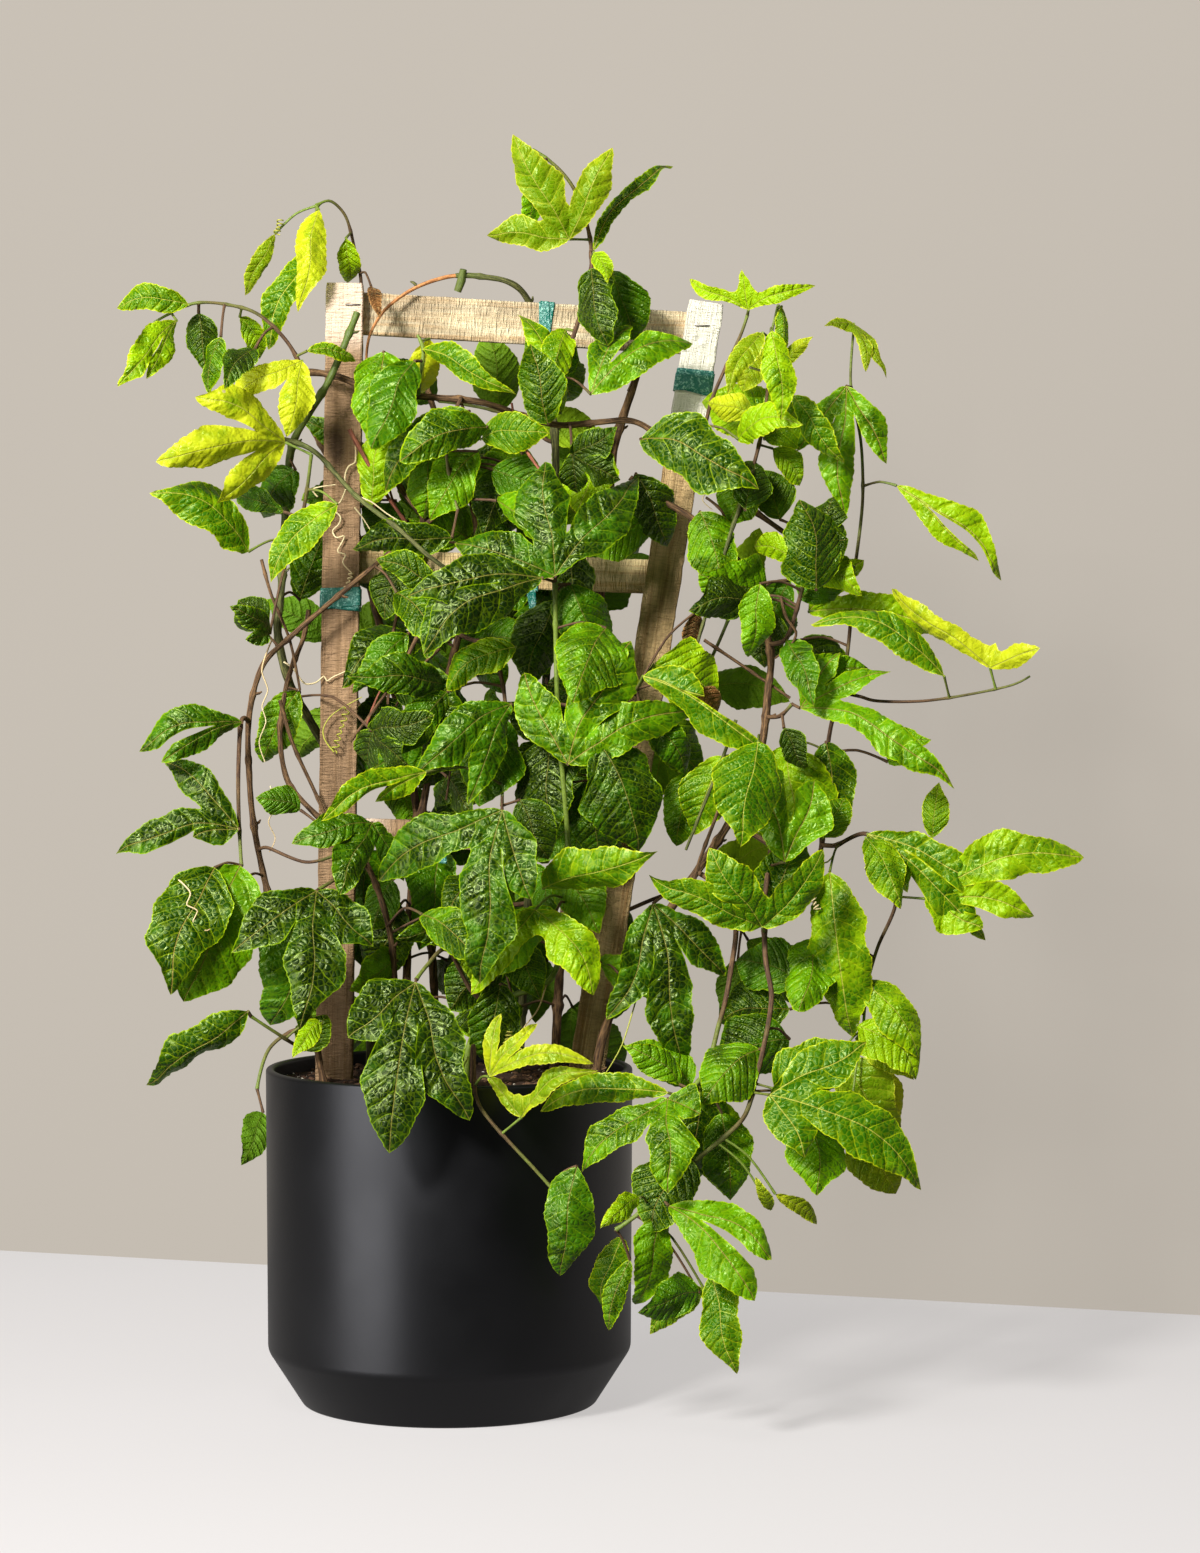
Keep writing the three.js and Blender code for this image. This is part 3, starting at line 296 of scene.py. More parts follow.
satin_black = mottled("satin_black_glaze", paint(1, 1, 1), paint(3, 3, 3), 0.3, 420.0,
                      0.36, 0.00004, Specular_IOR_Level=0.52,
                      Specular_Tint=(0.94, 0.94, 1.0, 1.0))
pot_profile = softened([Vector(p) for p in (
    (0, 0), (POT_BASE_R, 0), (POT_CREASE_R, POT_CREASE_Z), (POT_RIM_R, POT_HEIGHT),
    (POT_INNER_R, POT_HEIGHT), (POT_INNER_R - 1, POT_CREASE_Z + 4), (POT_BASE_R - 5, POT_FLOOR),
    (0, POT_FLOOR))], (2, 3.5, 2.4, 2.4, 4, 3))
pot = turned("pot_body", pot_profile, POT_SIDES, satin_black)
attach(pot, "root")
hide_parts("pot")

# ---- Potting mix. Dark composted bark, peat and coir, filled to a finger below the lip and a
# little heaped toward the middle, with loose bark chips and pale grit on top.
MIX_TOP, MIX_CROWN, MIX_RINGS, RING_STEP = 225.0, 3, 55, 2.2
LUMP_WIDE, LUMP_HIGH, CRUMB_WIDE, CRUMB_HIGH = 9, 2.6, 3, 1.1
LEVEL_EDGE = 14                   # mm from the wall over which the heap dies out


def heap(x, y, z):
    """Rise and fall of the mix at its top, in mm."""
    if z < MIX_TOP - 1:
        return 0
    inward = min(1.0, (POT_INNER_R - math.hypot(x, y)) / LEVEL_EDGE)
    lumps = noise.noise(Vector((x / LUMP_WIDE, y / LUMP_WIDE, 0.3))) * LUMP_HIGH
    crumbs = noise.noise(Vector((x / CRUMB_WIDE, y / CRUMB_WIDE, 5))) * CRUMB_HIGH
    return (lumps + crumbs) * (0.35 + 0.65 * inward)


mix_profile = [(0, POT_FLOOR + 0.3), (POT_BASE_R - 6, POT_FLOOR + 0.3),
               (POT_INNER_R - 1.4, POT_CREASE_Z + 5), (POT_INNER_R - 0.4, MIX_TOP - 3)]
mix_profile += [(POT_INNER_R - 0.6 - RING_STEP * k, MIX_TOP + MIX_CROWN * k / MIX_RINGS)
                for k in range(MIX_RINGS)]
mix_profile += [(0, MIX_TOP + MIX_CROWN)]
peat = mottled("potting_peat", paint(52, 36, 26), paint(92, 68, 48), 0.8, 900.0, 0.9, 0.0012,
               Specular_IOR_Level=0.25)
soil = turned("potting_soil", mix_profile, MIX_SIDES, peat, heap)


def grow(thing, tree, **sizes):
    """Gives a piece a geometry tree with the sizes named, and keeps the plain mesh it makes."""
    modifier = thing.modifiers.new("shape", "NODES")
    modifier.node_group = tree
    for item in tree.interface.items_tree:
        if item.in_out == "INPUT" and item.name in sizes:
            modifier[item.identifier] = sizes[item.name]
    graph = bpy.context.evaluated_depsgraph_get()
    mesh = bpy.data.meshes.new_from_object(
        thing.evaluated_get(graph), preserve_all_data_layers=True, depsgraph=graph)
    thing.modifiers.clear()
    thing.data = mesh
    mesh.name = thing.name
    return thing


def finished(tree, made, material):
    """Ends a geometry tree: what it made is made real and given its material."""
    real = add_node(tree, "GeometryNodeRealizeInstances", {0: made})
    coated = add_node(tree, "GeometryNodeSetMaterial", {
        "Geometry": real.outputs[0], "Material": material})
    add_node(tree, "NodeGroupOutput", {0: coated.outputs[0]})
    return tree


def scatter_tree():
    """Loose bits strewn over the upward faces of a piece."""
    tree, given = new_group("strewn_bits", "Geometry", {
        "Geometry": "Geometry", "Density": "Float", "Length": "Float", "Flatness": "Float",
        "Seed": "Int", "Material": "Material"}, {"Geometry": "Geometry"})
    normal = add_node(tree, "GeometryNodeInputNormal").outputs[0]
    upward = add_node(tree, "FunctionNodeCompare", {0: parted(tree, normal)["Z"], 1: 0.5},
                      data_type="FLOAT", operation="GREATER_THAN")
    spots = add_node(tree, "GeometryNodeDistributePointsOnFaces", {
        "Mesh": given["Geometry"], "Selection": upward.outputs[0],
        "Density": given["Density"], "Seed": given["Seed"]})
    turn = add_node(tree, "FunctionNodeRandomValue", {
        "Min": (-0.5, -0.5, 0.0), "Max": (0.5, 0.5, 6.28), "Seed": given["Seed"]},
        data_type="FLOAT_VECTOR")
    size = add_node(tree, "FunctionNodeRandomValue", {2: 0.25, 3: 1.0, "Seed": 11})
    length = times(tree, size.outputs[1], given["Length"])
    scale = add_node(tree, "ShaderNodeCombineXYZ", {
        0: length, 1: times(tree, length, 0.55),
        2: times(tree, length, given["Flatness"])})
    bit = add_node(tree, "GeometryNodeMeshIcoSphere", {"Radius": 1.0, "Subdivisions": 1})
    strewn = add_node(tree, "GeometryNodeInstanceOnPoints", {
        "Points": spots.outputs["Points"], "Instance": bit.outputs["Mesh"],
        "Rotation": turn.outputs[0], "Scale": scale.outputs[0]})
    return finished(tree, strewn.outputs[0], given["Material"])


strewn_bits = scatter_tree()
bark_chip = mottled("bark_chip", paint(88, 60, 40), paint(140, 104, 72), 0.9, 700.0, 0.85, 0.0005)
pale_grit = mottled("pale_grit", paint(196, 186, 168), paint(150, 136, 112), 0.7, 500.0, 0.9,
                    0.0004)
for name, density, length, flatness, seed, material in (
    ("soil_bark_chips", 17000, 0.0042, 0.32, 4, bark_chip),
    ("soil_pale_grit", 5200, 0.0017, 0.7, 9, pale_grit),
):
    bits = new_object(name, soil.data.copy())
    grow(bits, strewn_bits, Density=density, Length=length, Flatness=flatness, Seed=seed,
         Material=material)
    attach(bits, "root")
    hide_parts("potting_mix")
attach(soil, "root")
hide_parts("potting_mix")

# ---- Ladder. Two uprights pushed into the mix and three slats across them, of sawn pine with worn
# corners. The top slat is new and pale, the middle one tan, the lower one and the left upright
# browner, the right upright old and rough. The uprights' tops are painted paler, a painted
# highlight.
BOARD_THICK, SLAT_THICK, BOARD_FOOT_Z = 12.0, 8.0, 120.0
SLAT_DEPTH = (BOARD_THICK + SLAT_THICK) / 2 + 0.3
BOARD_CORNER, BOARD_ROW, END_PINCH = 0.9, 5, 0.96
NEW_WEAR, OLD_WEAR = 0.35, 0.8    # mm that the faces wander
BOARDS = [                        # name, marks of its ends, width, thickness, depth
  ['trellis_upright_left', [346, 285], [331, 1230], 25.9, BOARD_THICK, 0],
  ['trellis_upright_right', [706, 304], [562, 1230], 24.5, BOARD_THICK, 0],
  ['trellis_slat_top', [330, 313], [697, 335], 29.4, SLAT_THICK, SLAT_DEPTH],
  ['trellis_slat_middle', [324, 565], [679, 578], 23.8, SLAT_THICK, SLAT_DEPTH],
  ['trellis_slat_lower', [320, 831], [640, 841], 19.6, SLAT_THICK, SLAT_DEPTH],
]


def spot(across, down, depth):
    """The place of a mark of the layout sheet that lies depth mm behind the pot's middle."""
    step = (depth - EYE[1]) / SHEET_REACH
    return np.array([EYE[0] + (across - SHEET_MID_ACROSS) * step, depth,
                     EYE[2] - (down - SHEET_MID_DOWN) * step])


def unit(v):
    return v / math.sqrt(v @ v)


class Board:
    """A board with its own axes, for its wood, its tape and the clearance of leaves."""

    def __init__(self, name, mark_from, mark_to, width, thick, depth):
        self.name, self.width, self.thick, self.depth = name, width, thick, depth
        self.start = spot(*mark_from, depth)
        end = spot(*mark_to, depth)
        if end[2] < BOARD_FOOT_Z:
            end += (self.start - end) * (end[2] - BOARD_FOOT_Z) / (end[2] - self.start[2])
        self.length = float(np.linalg.norm(end - self.start))
        self.along = unit(end - self.start)
        self.across = np.array([self.along[2], 0, -self.along[0]])

    def at(self, along, across, thick):
        return (self.start + self.along * along + self.across * across
                + np.array([0, thick, 0])) / 1000


boards = {row[0]: Board(*row) for row in BOARDS}


def vector_sums(tree, kind, a, b):
    return add_node(tree, "ShaderNodeVectorMath", {0: a, 1: b}, operation=kind).outputs[0]


def own_value(tree, name, output="Fac"):
    """What a mesh's own points carry under a name."""
    return add_node(tree, "ShaderNodeAttribute", attribute_name=name).outputs[output]


def wood_group():
    """Sawn softwood: grain lines, saw marks and weathered patches along a board's own axes."""
    tree, given = new_group("sawn_pine", "Shader", {
        "Pale": "Color", "Streak": "Color", "Stain": "Color", "Stain share": "Float",
        "Saw marks": "Float"})
    own = own_value(tree, "board", "Vector")

    def stretched(along, across, **more):
        place = vector_sums(tree, "MULTIPLY", own, (along, across, across))
        return cloudy(tree, place, 1.0, **more)

    grain = stretched(7, 210, Detail=5.0, Roughness=0.65, Distortion=0.5)
    fibre = stretched(60, 1500, Detail=3.0)
    saw = stretched(820, 130, Detail=3.0, Distortion=0.3)
    patches = stretched(16, 48, Detail=4.0, Roughness=0.6)
    share = times(tree, ramp(tree, patches, 0.36, 0.66), given["Stain share"])
    lined = blend(tree, ramp(tree, grain, 0.42, 0.68), given["Pale"], given["Streak"])
    darker = times(tree, ramp(tree, fibre, 0.3, 0.7, 0.84, 1.08, even=True),
                   ramp(tree, saw, 0.34, 0.6, 0.85, 1.04, even=True))
    toned = add_node(tree, "ShaderNodeVectorMath", {
        0: blend(tree, share, lined, given["Stain"]), "Scale": darker}, operation="SCALE")
    marks = sums(tree, "MULTIPLY_ADD", saw, given["Saw marks"], grain)
    add_node(tree, "NodeGroupOutput", {
        "Colour": toned.outputs[0], "Roughness": ramp(tree, grain, 0, 1, 0.7, 0.95, even=True),
        "Height": sums(tree, "MULTIPLY_ADD", fibre, 0.5, marks)})
    return tree


sawn_pine = wood_group()


def wood(name, pale, streak, stain, stain_share, saw_marks, relief):
    return skinned(name, sawn_pine, relief, {
        "Pale": pale, "Streak": streak, "Stain": stain, "Stain share": stain_share,
        "Saw marks": saw_marks}, Specular_IOR_Level=0.3)


def top_highlight_and_stain(made, colour, share, highlight_from, highlight_to, stain_at=(9.0, 0.0, 0.0)):
    """Paints a wood paler toward the top end of its board, a painted highlight, and adds one dark
    stain.
    """
    material, tree, shader, grain, _ = made
    own = own_value(tree, "board", "Vector")
    # Painted highlight: the wood turns to a pale colour toward the top end of its board
    painted_top_highlight = ramp(tree, parted(tree, own)["X"], highlight_from, highlight_to, share, 0.0)
    off = vector_sums(tree, "MULTIPLY", vector_sums(tree, "SUBTRACT", own, stain_at),
                      (1.0, 2.4, 1.6))
    away = add_node(tree, "ShaderNodeVectorMath", {0: off}, operation="LENGTH").outputs["Value"]
    stained = blend(tree, ramp(tree, away, 0.006, 0.022, 0.8, 0.0),
                    blend(tree, painted_top_highlight, grain["Colour"], colour), paint(52, 34, 22))
    tree.links.new(stained, shader.inputs["Base Color"])
    return material


pale_pine = wood("pale_pine", paint(250, 232, 190), paint(226, 190, 140), paint(130, 98, 66),
                 0.6, 1.8, 0.0016)[0]
tan_pine = wood("tan_pine", paint(246, 220, 160), paint(214, 176, 116), paint(150, 116, 70),
                0.6, 1.8, 0.0016)[0]
# The pale colours given here are painted highlights toward the top end of the board
brown_pine = top_highlight_and_stain(
    wood("brown_pine", paint(178, 143, 106), paint(148, 116, 80), paint(112, 86, 60), 0.5, 1.6,
         0.0013), paint(252, 224, 196), 0.85, 0.03, 0.055, (0.114, 0.004, -0.006))
old_pine = top_highlight_and_stain(
    wood("old_pine", paint(226, 190, 134), paint(164, 122, 74), paint(132, 110, 66), 0.7, 0.7,
         0.0024), paint(252, 246, 226), 0.92, 0.078, 0.1)
BOARD_WOOD = {"trellis_upright_left": brown_pine, "trellis_upright_right": old_pine,
              "trellis_slat_top": pale_pine, "trellis_slat_middle": tan_pine,
              "trellis_slat_lower": brown_pine}


def sawn_board(board, material, wear, seed):
    """A board with worn corners and faces that wander a little."""
    half_w, half_t, corner = board.width / 2, board.thick / 2, BOARD_CORNER
    section = []
    for sx, sy in ((1, 1), (-1, 1), (-1, -1), (1, -1)):
        arc = [(sx * half_w, sy * (half_t - corner)),
               (sx * (half_w - 0.3 * corner), sy * (half_t - 0.3 * corner)),
               (sx * (half_w - corner), sy * half_t)]
        section += arc if sx * sy > 0 else arc[::-1]
        edge_from = section[-1]
        goal = ((-sx * (half_w - corner), sy * half_t) if sx * sy > 0
                else (sx * half_w, -sy * (half_t - corner)))
        for k in (1, 2, 3):
            section.append((edge_from[0] + (goal[0] - edge_from[0]) * k / 4,
                            edge_from[1] + (goal[1] - edge_from[1]) * k / 4))
    rows = max(8, int(board.length / BOARD_ROW))
    points, own = [], []
    for i in range(rows + 1):
        along = board.length * i / rows
        pinch = END_PINCH if i in (0, rows) else 1.0
        for u, v in section:
            dent = wear * noise.noise(Vector((along / 7, u / 5 + seed, v / 5)))
            at_u, at_v = (u + dent * (u / half_w)) * pinch, (v + dent * (v / half_t)) * pinch
            points.append(tuple(board.at(along, at_u, at_v)))
            own.append((along / 1000, u / 1000 + seed, v / 1000))
    ring = len(section)
    faces = [(i * ring + k, (i + 1) * ring + k, (i + 1) * ring + (k + 1) % ring,
              i * ring + (k + 1) % ring) for i in range(rows) for k in range(ring)]
    faces += [tuple(range(ring)), tuple(rows * ring + k for k in reversed(range(ring)))]
    mesh = new_mesh(board.name + "_wood", points, faces, [material], smooth=False, board=own)
    face_out(mesh)
    piece = new_object(mesh.name, mesh)
    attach(piece, "root")
    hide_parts(board.name)


def face_out(mesh):
    """Turns a closed shell's faces outward if its volume comes out negative."""
    mesh.calc_loop_triangles()
    corner = np.array([v.co for v in mesh.vertices])
    tri = corner[np.array([t.vertices for t in mesh.loop_triangles])]
    if np.einsum("ij,ij->i", tri[:, 0], np.cross(tri[:, 1], tri[:, 2])).sum() < 0:
        mesh.flip_normals()


for number, board in enumerate(boards.values()):
    material = BOARD_WOOD[board.name]
    sawn_board(board, material, OLD_WEAR if material is old_pine else NEW_WEAR, 0.11 * number)

# ---- Staples. Galvanised wire staples hold the slats, two to a slat: a crown along the grain with
# its legs driven through into the upright.
STAPLE_CROWN, STAPLE_WIRE_R, STAPLE_LEG, STAPLE_LIFT, STAPLE_SIDES = 10.0, 0.55, 3.0, 0.7, 8
STAPLES = [                       # name, mark, and -1 in front or 1 at the back
  ['staple_top_left', 354, 306, -1],
  ['staple_top_right', 702, 327, -1],
  ['staple_middle_left', 338, 566, 1],
  ['staple_middle_right', 664, 577, 1],
  ['staple_lower_left', 336, 832, 1],
  ['staple_lower_right', 624, 840, 1],
]


def stick_tree():
    """A round stick along each edge path, with its thickness from the path's own points."""
    tree, given = new_group("round_stick", "Geometry", {
        "Geometry": "Geometry", "Sides": "Int", "Material": "Material"}, {"Geometry": "Geometry"})
    path = add_node(tree, "GeometryNodeMeshToCurve", {0: given["Geometry"]})
    run = add_node(tree, "GeometryNodeStoreNamedAttribute", {
        "Geometry": path.outputs[0], "Name": "run",
        "Value": add_node(tree, "GeometryNodeSplineParameter").outputs["Length"]})
    circle = add_node(tree, "GeometryNodeCurvePrimitiveCircle", {
        "Resolution": given["Sides"], "Radius": 1.0})
    around = add_node(tree, "GeometryNodeStoreNamedAttribute", {
        "Geometry": circle.outputs[0], "Name": "around",
        "Value": add_node(tree, "GeometryNodeInputPosition").outputs[0]},
        data_type="FLOAT_VECTOR")
    thick = add_node(tree, "GeometryNodeInputNamedAttribute", {"Name": "thick"})
    tube = add_node(tree, "GeometryNodeCurveToMesh", {
        "Curve": run.outputs[0], "Profile Curve": around.outputs[0],
        "Scale": thick.outputs[0], "Fill Caps": True})
    smooth = add_node(tree, "GeometryNodeSetShadeSmooth", {0: tube.outputs[0]})
    return finished(tree, smooth.outputs[0], given["Material"])


round_stick = stick_tree()


def sticks(name, runs, sides, material):
    """One piece of round sticks. A run is its points in mm, their radii and their freshness."""
    points, edges, thick, fresh = [], [], [], []
    for line, radii, youth in runs:
        first = len(points)
        points += [tuple(p) for p in np.asarray(line) / 1000]
        edges += [(i, i + 1) for i in range(first, len(points) - 1)]
        thick += list(np.broadcast_to(radii, len(line)) / 1000)
        fresh += list(np.broadcast_to(youth, len(line)))
    mesh = new_mesh(name, points, [], edges=edges, smooth=False, thick=thick, fresh=fresh)
    return grow(new_object(name, mesh), round_stick, Sides=sides, Material=material)


staple_steel = mottled("staple_steel", paint(122, 118, 112), paint(92, 74, 58), 0.5, 900.0, 0.42,
                       0.00005, Metallic=0.9)
staple_runs = []
for _, across, down, side in STAPLES:
    proud = BOARD_THICK / 2 if side < 0 else SLAT_DEPTH + SLAT_THICK / 2
    middle = spot(across, down, side * (proud + STAPLE_LIFT))
    inward = np.array([0, -side * STAPLE_LEG, 0])
    ends = [middle + np.array([s * STAPLE_CROWN / 2, 0, 0]) for s in (-1, 1)]
    bend = [e + np.array([-s * 0.8, -side * 0.15, 0]) for s, e in zip((-1, 1), ends)]
    staple_runs.append(([ends[0] + inward, ends[0] + inward * 0.3, bend[0], bend[1],
                         ends[1] + inward * 0.3, ends[1] + inward], STAPLE_WIRE_R, 0))
staples = sticks("staples", staple_runs, STAPLE_SIDES, staple_steel)
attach(staples, "root")
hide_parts(*[row[0] for row in STAPLES])

# ---- Ties. Teal nursery tape, stretched and wrapped three times round a board so that it creases
# and curls at its edges, with a loose end left hanging on some.
TAPE_GAP, TAPE_LAYER, TAPE_THICK, TAIL_THICK = 0.3, 0.34, 0.2, 0.25
TAPE_TURNS = ((0.05, -1.2, 0.86), (-0.09, 0.8, 0.8), (0.12, 0.3, 0.72))   # skew, offset, width
CREASE_DEPTH, TAIL_WAVE, SQUARENESS = 0.22, 1.6, 1.35
TURN_ROWS, TURN_COLUMNS, TAIL_ROWS, TAIL_COLUMNS = 48, 9, 15, 5
BANDS = [                         # name, board, place along it, width, length of the loose end
  ['tie_slat_top', 'trellis_slat_top', 152, 8.4, 26],
  ['tie_upright_right', 'trellis_upright_right', 56, 17, 0],
  ['tie_upright_left', 'trellis_upright_left', 220, 16, 0],
  ['tie_slat_middle', 'trellis_slat_middle', 145, 12, 14],
  ['tie_slat_lower', 'trellis_slat_lower', 84, 14, 10],
]
tie_tape, tape_tree, tape_shader = new_material("tie_tape", Roughness=0.35,
                                                Specular_IOR_Level=0.8)
# The crease noise gives the tape its relief and also paints pale glints on the teal: a painted
# highlight for the tape's shine
crease_relief_and_glints = cloudy(tape_tree, object_place(tape_tree), 460.0, Detail=3.0, Roughness=0.6,
                 Distortion=1.0)
tape_tree.links.new(blend(tape_tree, ramp(tape_tree, crease_relief_and_glints, 0.5, 0.68, 0.0, 0.8),
                          paint(4, 112, 96), paint(170, 226, 206)),
                    tape_shader.inputs["Base Color"])
tape_tree.links.new(add_node(tape_tree, "ShaderNodeBump", {
    "Distance": 0.0009, "Height": crease_relief_and_glints}).outputs[0], tape_shader.inputs["Normal"])


def strip(rows, columns, closed, place):
    """A thin strip of rows along it and columns across, in two skins. place(row, column, inner)
    gives its points."""
    points = [tuple(place(i, j, inner)) for inner in (0, 1) for i in range(rows)
              for j in range(columns)]
    size = rows * columns
    faces = []
    for i in range(rows if closed else rows - 1):
        n = (i + 1) % rows
        for j in range(columns - 1):
            a, b = i * columns + j, n * columns + j
            faces.append((a, a + 1, b + 1, b))
            faces.append((a + size, b + size, b + 1 + size, a + 1 + size))
        first, last = i * columns, i * columns + columns - 1
        next_first, next_last = n * columns, n * columns + columns - 1
        faces.append((first, next_first, next_first + size, first + size))
        faces.append((last, last + size, next_last + size, next_last))
    if not closed:
        for i, order in ((0, 1), (rows - 1, -1)):
            for j in range(columns - 1):
                a = i * columns + j
                faces.append((a, a + size, a + 1 + size, a + 1)[::order])
    return points, faces


def turn_of_tape(board, place, width, layer):
    """One turn of the tape round a board, skewed and creased."""
    skew, offset, share = TAPE_TURNS[layer]

    def wound(i, j, inner):
        out = TAPE_GAP + TAPE_LAYER * (layer + 1) - inner * TAPE_THICK
        turn = 2 * math.pi * i / TURN_ROWS
        c, s = math.cos(turn), math.sin(turn)
        u = (board.width / 2 + out) * math.copysign(min(1.0, abs(c) * SQUARENESS), c)
        v = (board.thick / 2 + out) * math.copysign(min(1.0, abs(s) * SQUARENESS), s)
        w = (j / (TURN_COLUMNS - 1) - 0.5) * width * share
        crease = CREASE_DEPTH * noise.noise(Vector((turn * 3, w * 0.7, layer * 5.0 + place)))
        return board.at(place + w + offset + skew * u, u + crease * c, v + crease * s)

    return strip(TURN_ROWS, TURN_COLUMNS, True, wound)


def tail_of_tape(board, place, width, tail):
    """The loose end, which narrows and waves as it hangs."""
    hang = -1 if board.across[2] > 0 else 1

    def hung(i, j, inner):
        t = i / (TAIL_ROWS - 1)
        w = (j / (TAIL_COLUMNS - 1) - 0.5) * width * 0.62 * (1 - 0.35 * t)
        wave = TAIL_WAVE * t * math.sin(5 * t + 0.8 * j)
        return board.at(place + w + 3 * t,
                        hang * (board.width * 0.2 + (tail + board.width * 0.3) * t),
                        -board.thick / 2 - 1.5 - wave * 0.6 + inner * TAIL_THICK)

    return strip(TAIL_ROWS, TAIL_COLUMNS, False, hung)


for name, board_name, place, width, tail in BANDS:
    board = boards[board_name]
    made = [turn_of_tape(board, place, width, layer) for layer in range(len(TAPE_TURNS))]
    if tail:
        made.append(tail_of_tape(board, place, width, tail))
    points, faces = [], []
    for strip_points, strip_faces in made:
        faces += [tuple(k + len(points) for k in face) for face in strip_faces]
        points += strip_points
    mesh = new_mesh(name + "_wrap", points, faces, [tie_tape])
    face_out(mesh)
    wrap = new_object(mesh.name, mesh)
    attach(wrap, "root")
    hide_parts(name)

# ---- Canes. The old woody growth: nine brown or grey-green canes that climb from the mix through
# the ladder, ringed and swollen at the joints where leaves once grew, with rough streaky bark.
FIRST_JOINT, JOINT_SPACING, JOINT_SWELL, JOINT_REACH = 21, 46.0, 0.34, 2.6
CANE_STEP = 2.4                   # mm between the rows of its bark
CANE_SIDES, STEM_SIDES, THIN_SIDES = 10, 8, 6
CANES = [                         # name, radius at the foot and at the tip, marks
  ['cane_left', 3.6, 2.4, [[372, 1135, 24], [366, 960, 34], [345, 800, 34], [317, 733, 24],
    [292, 689, 4], [278, 634, -8], [282, 585, -10], [289, 470, -10], [300, 430, -26],
    [330, 381, -38], [358, 314, -30]]],
  ['cane_twin_left', 2.4, 1.7, [[330, 1135, -24], [314, 1040, -30], [276, 925, -36],
    [255, 835, -34], [249, 772, -32], [249, 717, -32], [262, 667, -32], [285, 642, -32],
    [330, 603, -30], [388, 555, -28], [432, 520, -24]]],
  ['cane_twin_right', 2.2, 1.7, [[398, 1135, -34], [392, 950, -36], [363, 859, -28],
    [328, 826, -24], [303, 802, -20], [286, 777, -16], [280, 730, -14], [289, 676, -13],
    [303, 640, -15], [309, 610, -18]]],
  ['cane_across', 3.0, 1.9, [[440, 1135, 44], [430, 930, 50], [405, 740, 48], [350, 510, 36],
    [314, 430, 26], [297, 392, 8], [305, 374, -14], [340, 378, -22], [388, 394, -26],
    [476, 402, -26], [523, 417, -26], [564, 426, -26], [623, 421, -26], [652, 432, -26],
    [698, 472, -24], [752, 510, -16], [783, 532, -12]]],
  ['cane_right', 3.4, 2.6, [[552, 1135, 26], [562, 940, 34], [586, 740, 38], [606, 540, 24],
    [614, 449, 4], [634, 385, -5], [640, 340, -6], [630, 306, -5]]],
  ['cane_back', 3.0, 2.0, [[404, 1135, 8], [408, 930, 22], [424, 800, 30], [452, 660, 34],
    [478, 560, 30], [466, 480, 22], [440, 425, 20], [420, 366, 24]]],
  ['cane_top', 3.0, 1.2, [[516, 1135, 48], [528, 900, 56], [546, 680, 56], [556, 470, 46],
    [546, 370, 36], [532, 310, 25], [514, 286, 12], [488, 279, 8], [461, 277, 6], [438, 281, 3],
    [411, 292, -3], [385, 312, -7], [370, 338, -10], [367, 362, -11]]],
  ['cane_right_low', 3.2, 2.0, [[594, 1135, -44], [602, 1040, -54], [650, 940, -62],
    [712, 850, -62], [756, 770, -56], [768, 690, -50], [769, 644, -46], [744, 570, -42],
    [722, 549, -40], [690, 517, -38], [658, 499, -36], [630, 478, -34]]],
  ['cane_stub', 4.6, 4.0, [[424, 1135, -52], [419, 1034, -56]]],
]


def route(marks):
    return np.array([spot(*mark) for mark in marks])


def rounded(points):
    """A route with one rounded mark more between each two of its marks."""
    ends = np.concatenate([points[:1], points, points[-1:]])
    middles = (9 * (ends[1:-2] + ends[2:-1]) - ends[:-3] - ends[3:]) / 16
    line = np.empty((2 * len(points) - 1, points.shape[1]))
    line[::2], line[1::2] = points, middles
    return line


def drawn_out(line, step):
    """A smooth route in even steps, and how far along its marks each point is, from 0 to 1."""
    share = np.linspace(0, 1, len(line))[:, None]
    smooth = rounded(rounded(np.hstack([line, share])))
    steps = np.linalg.norm(np.diff(smooth[:, :3], axis=0), axis=1)
    lengths = np.concatenate([[0], np.cumsum(steps)])
    places = np.linspace(0, lengths[-1], max(3, int(lengths[-1] / step) + 1))
    even = np.stack([np.interp(places, lengths, smooth[:, k]) for k in range(4)], axis=1)
    return even[:, :3], even[:, 3], places


def bark_group():
    """Streaked bark on a stick: long streaks and pale lenticels."""
    tree, given = new_group("streaky_bark", "Shader", {
        "Dark": "Color", "Pale": "Color", "Fresh": "Color", "Fresh from": "Float",
        "Fresh to": "Float"})
    around = parted(tree, own_value(tree, "around", "Vector"))
    place = object_place(tree)
    own = add_node(tree, "ShaderNodeCombineXYZ", {
        0: around["X"], 1: around["Y"], 2: times(tree, own_value(tree, "run"), 38.0)})
    streaks = cloudy(tree, own.outputs[0], 2.2, Detail=5.0, Roughness=0.65)
    specks = cloudy(tree, place, 380.0)
    wander = sums(tree, "MULTIPLY_ADD", cloudy(tree, place, 42.0), 0.5, own_value(tree, "fresh"))
    green = ramp(tree, wander, given["Fresh from"], given["Fresh to"])
    wooden = blend(tree, ramp(tree, streaks, 0.36, 0.66), given["Dark"], given["Pale"])
    toned = add_node(tree, "ShaderNodeVectorMath", {
        0: blend(tree, green, wooden, given["Fresh"]),
        "Scale": ramp(tree, specks, 0.3, 0.7, 0.78, 1.15, even=True)}, operation="SCALE")
    add_node(tree, "NodeGroupOutput", {
        "Colour": toned.outputs[0], "Roughness": ramp(tree, green, 0, 1, 0.8, 0.45, even=True),
        "Height": sums(tree, "MULTIPLY_ADD", specks, 0.35, streaks)})
    return tree


streaky_bark = bark_group()


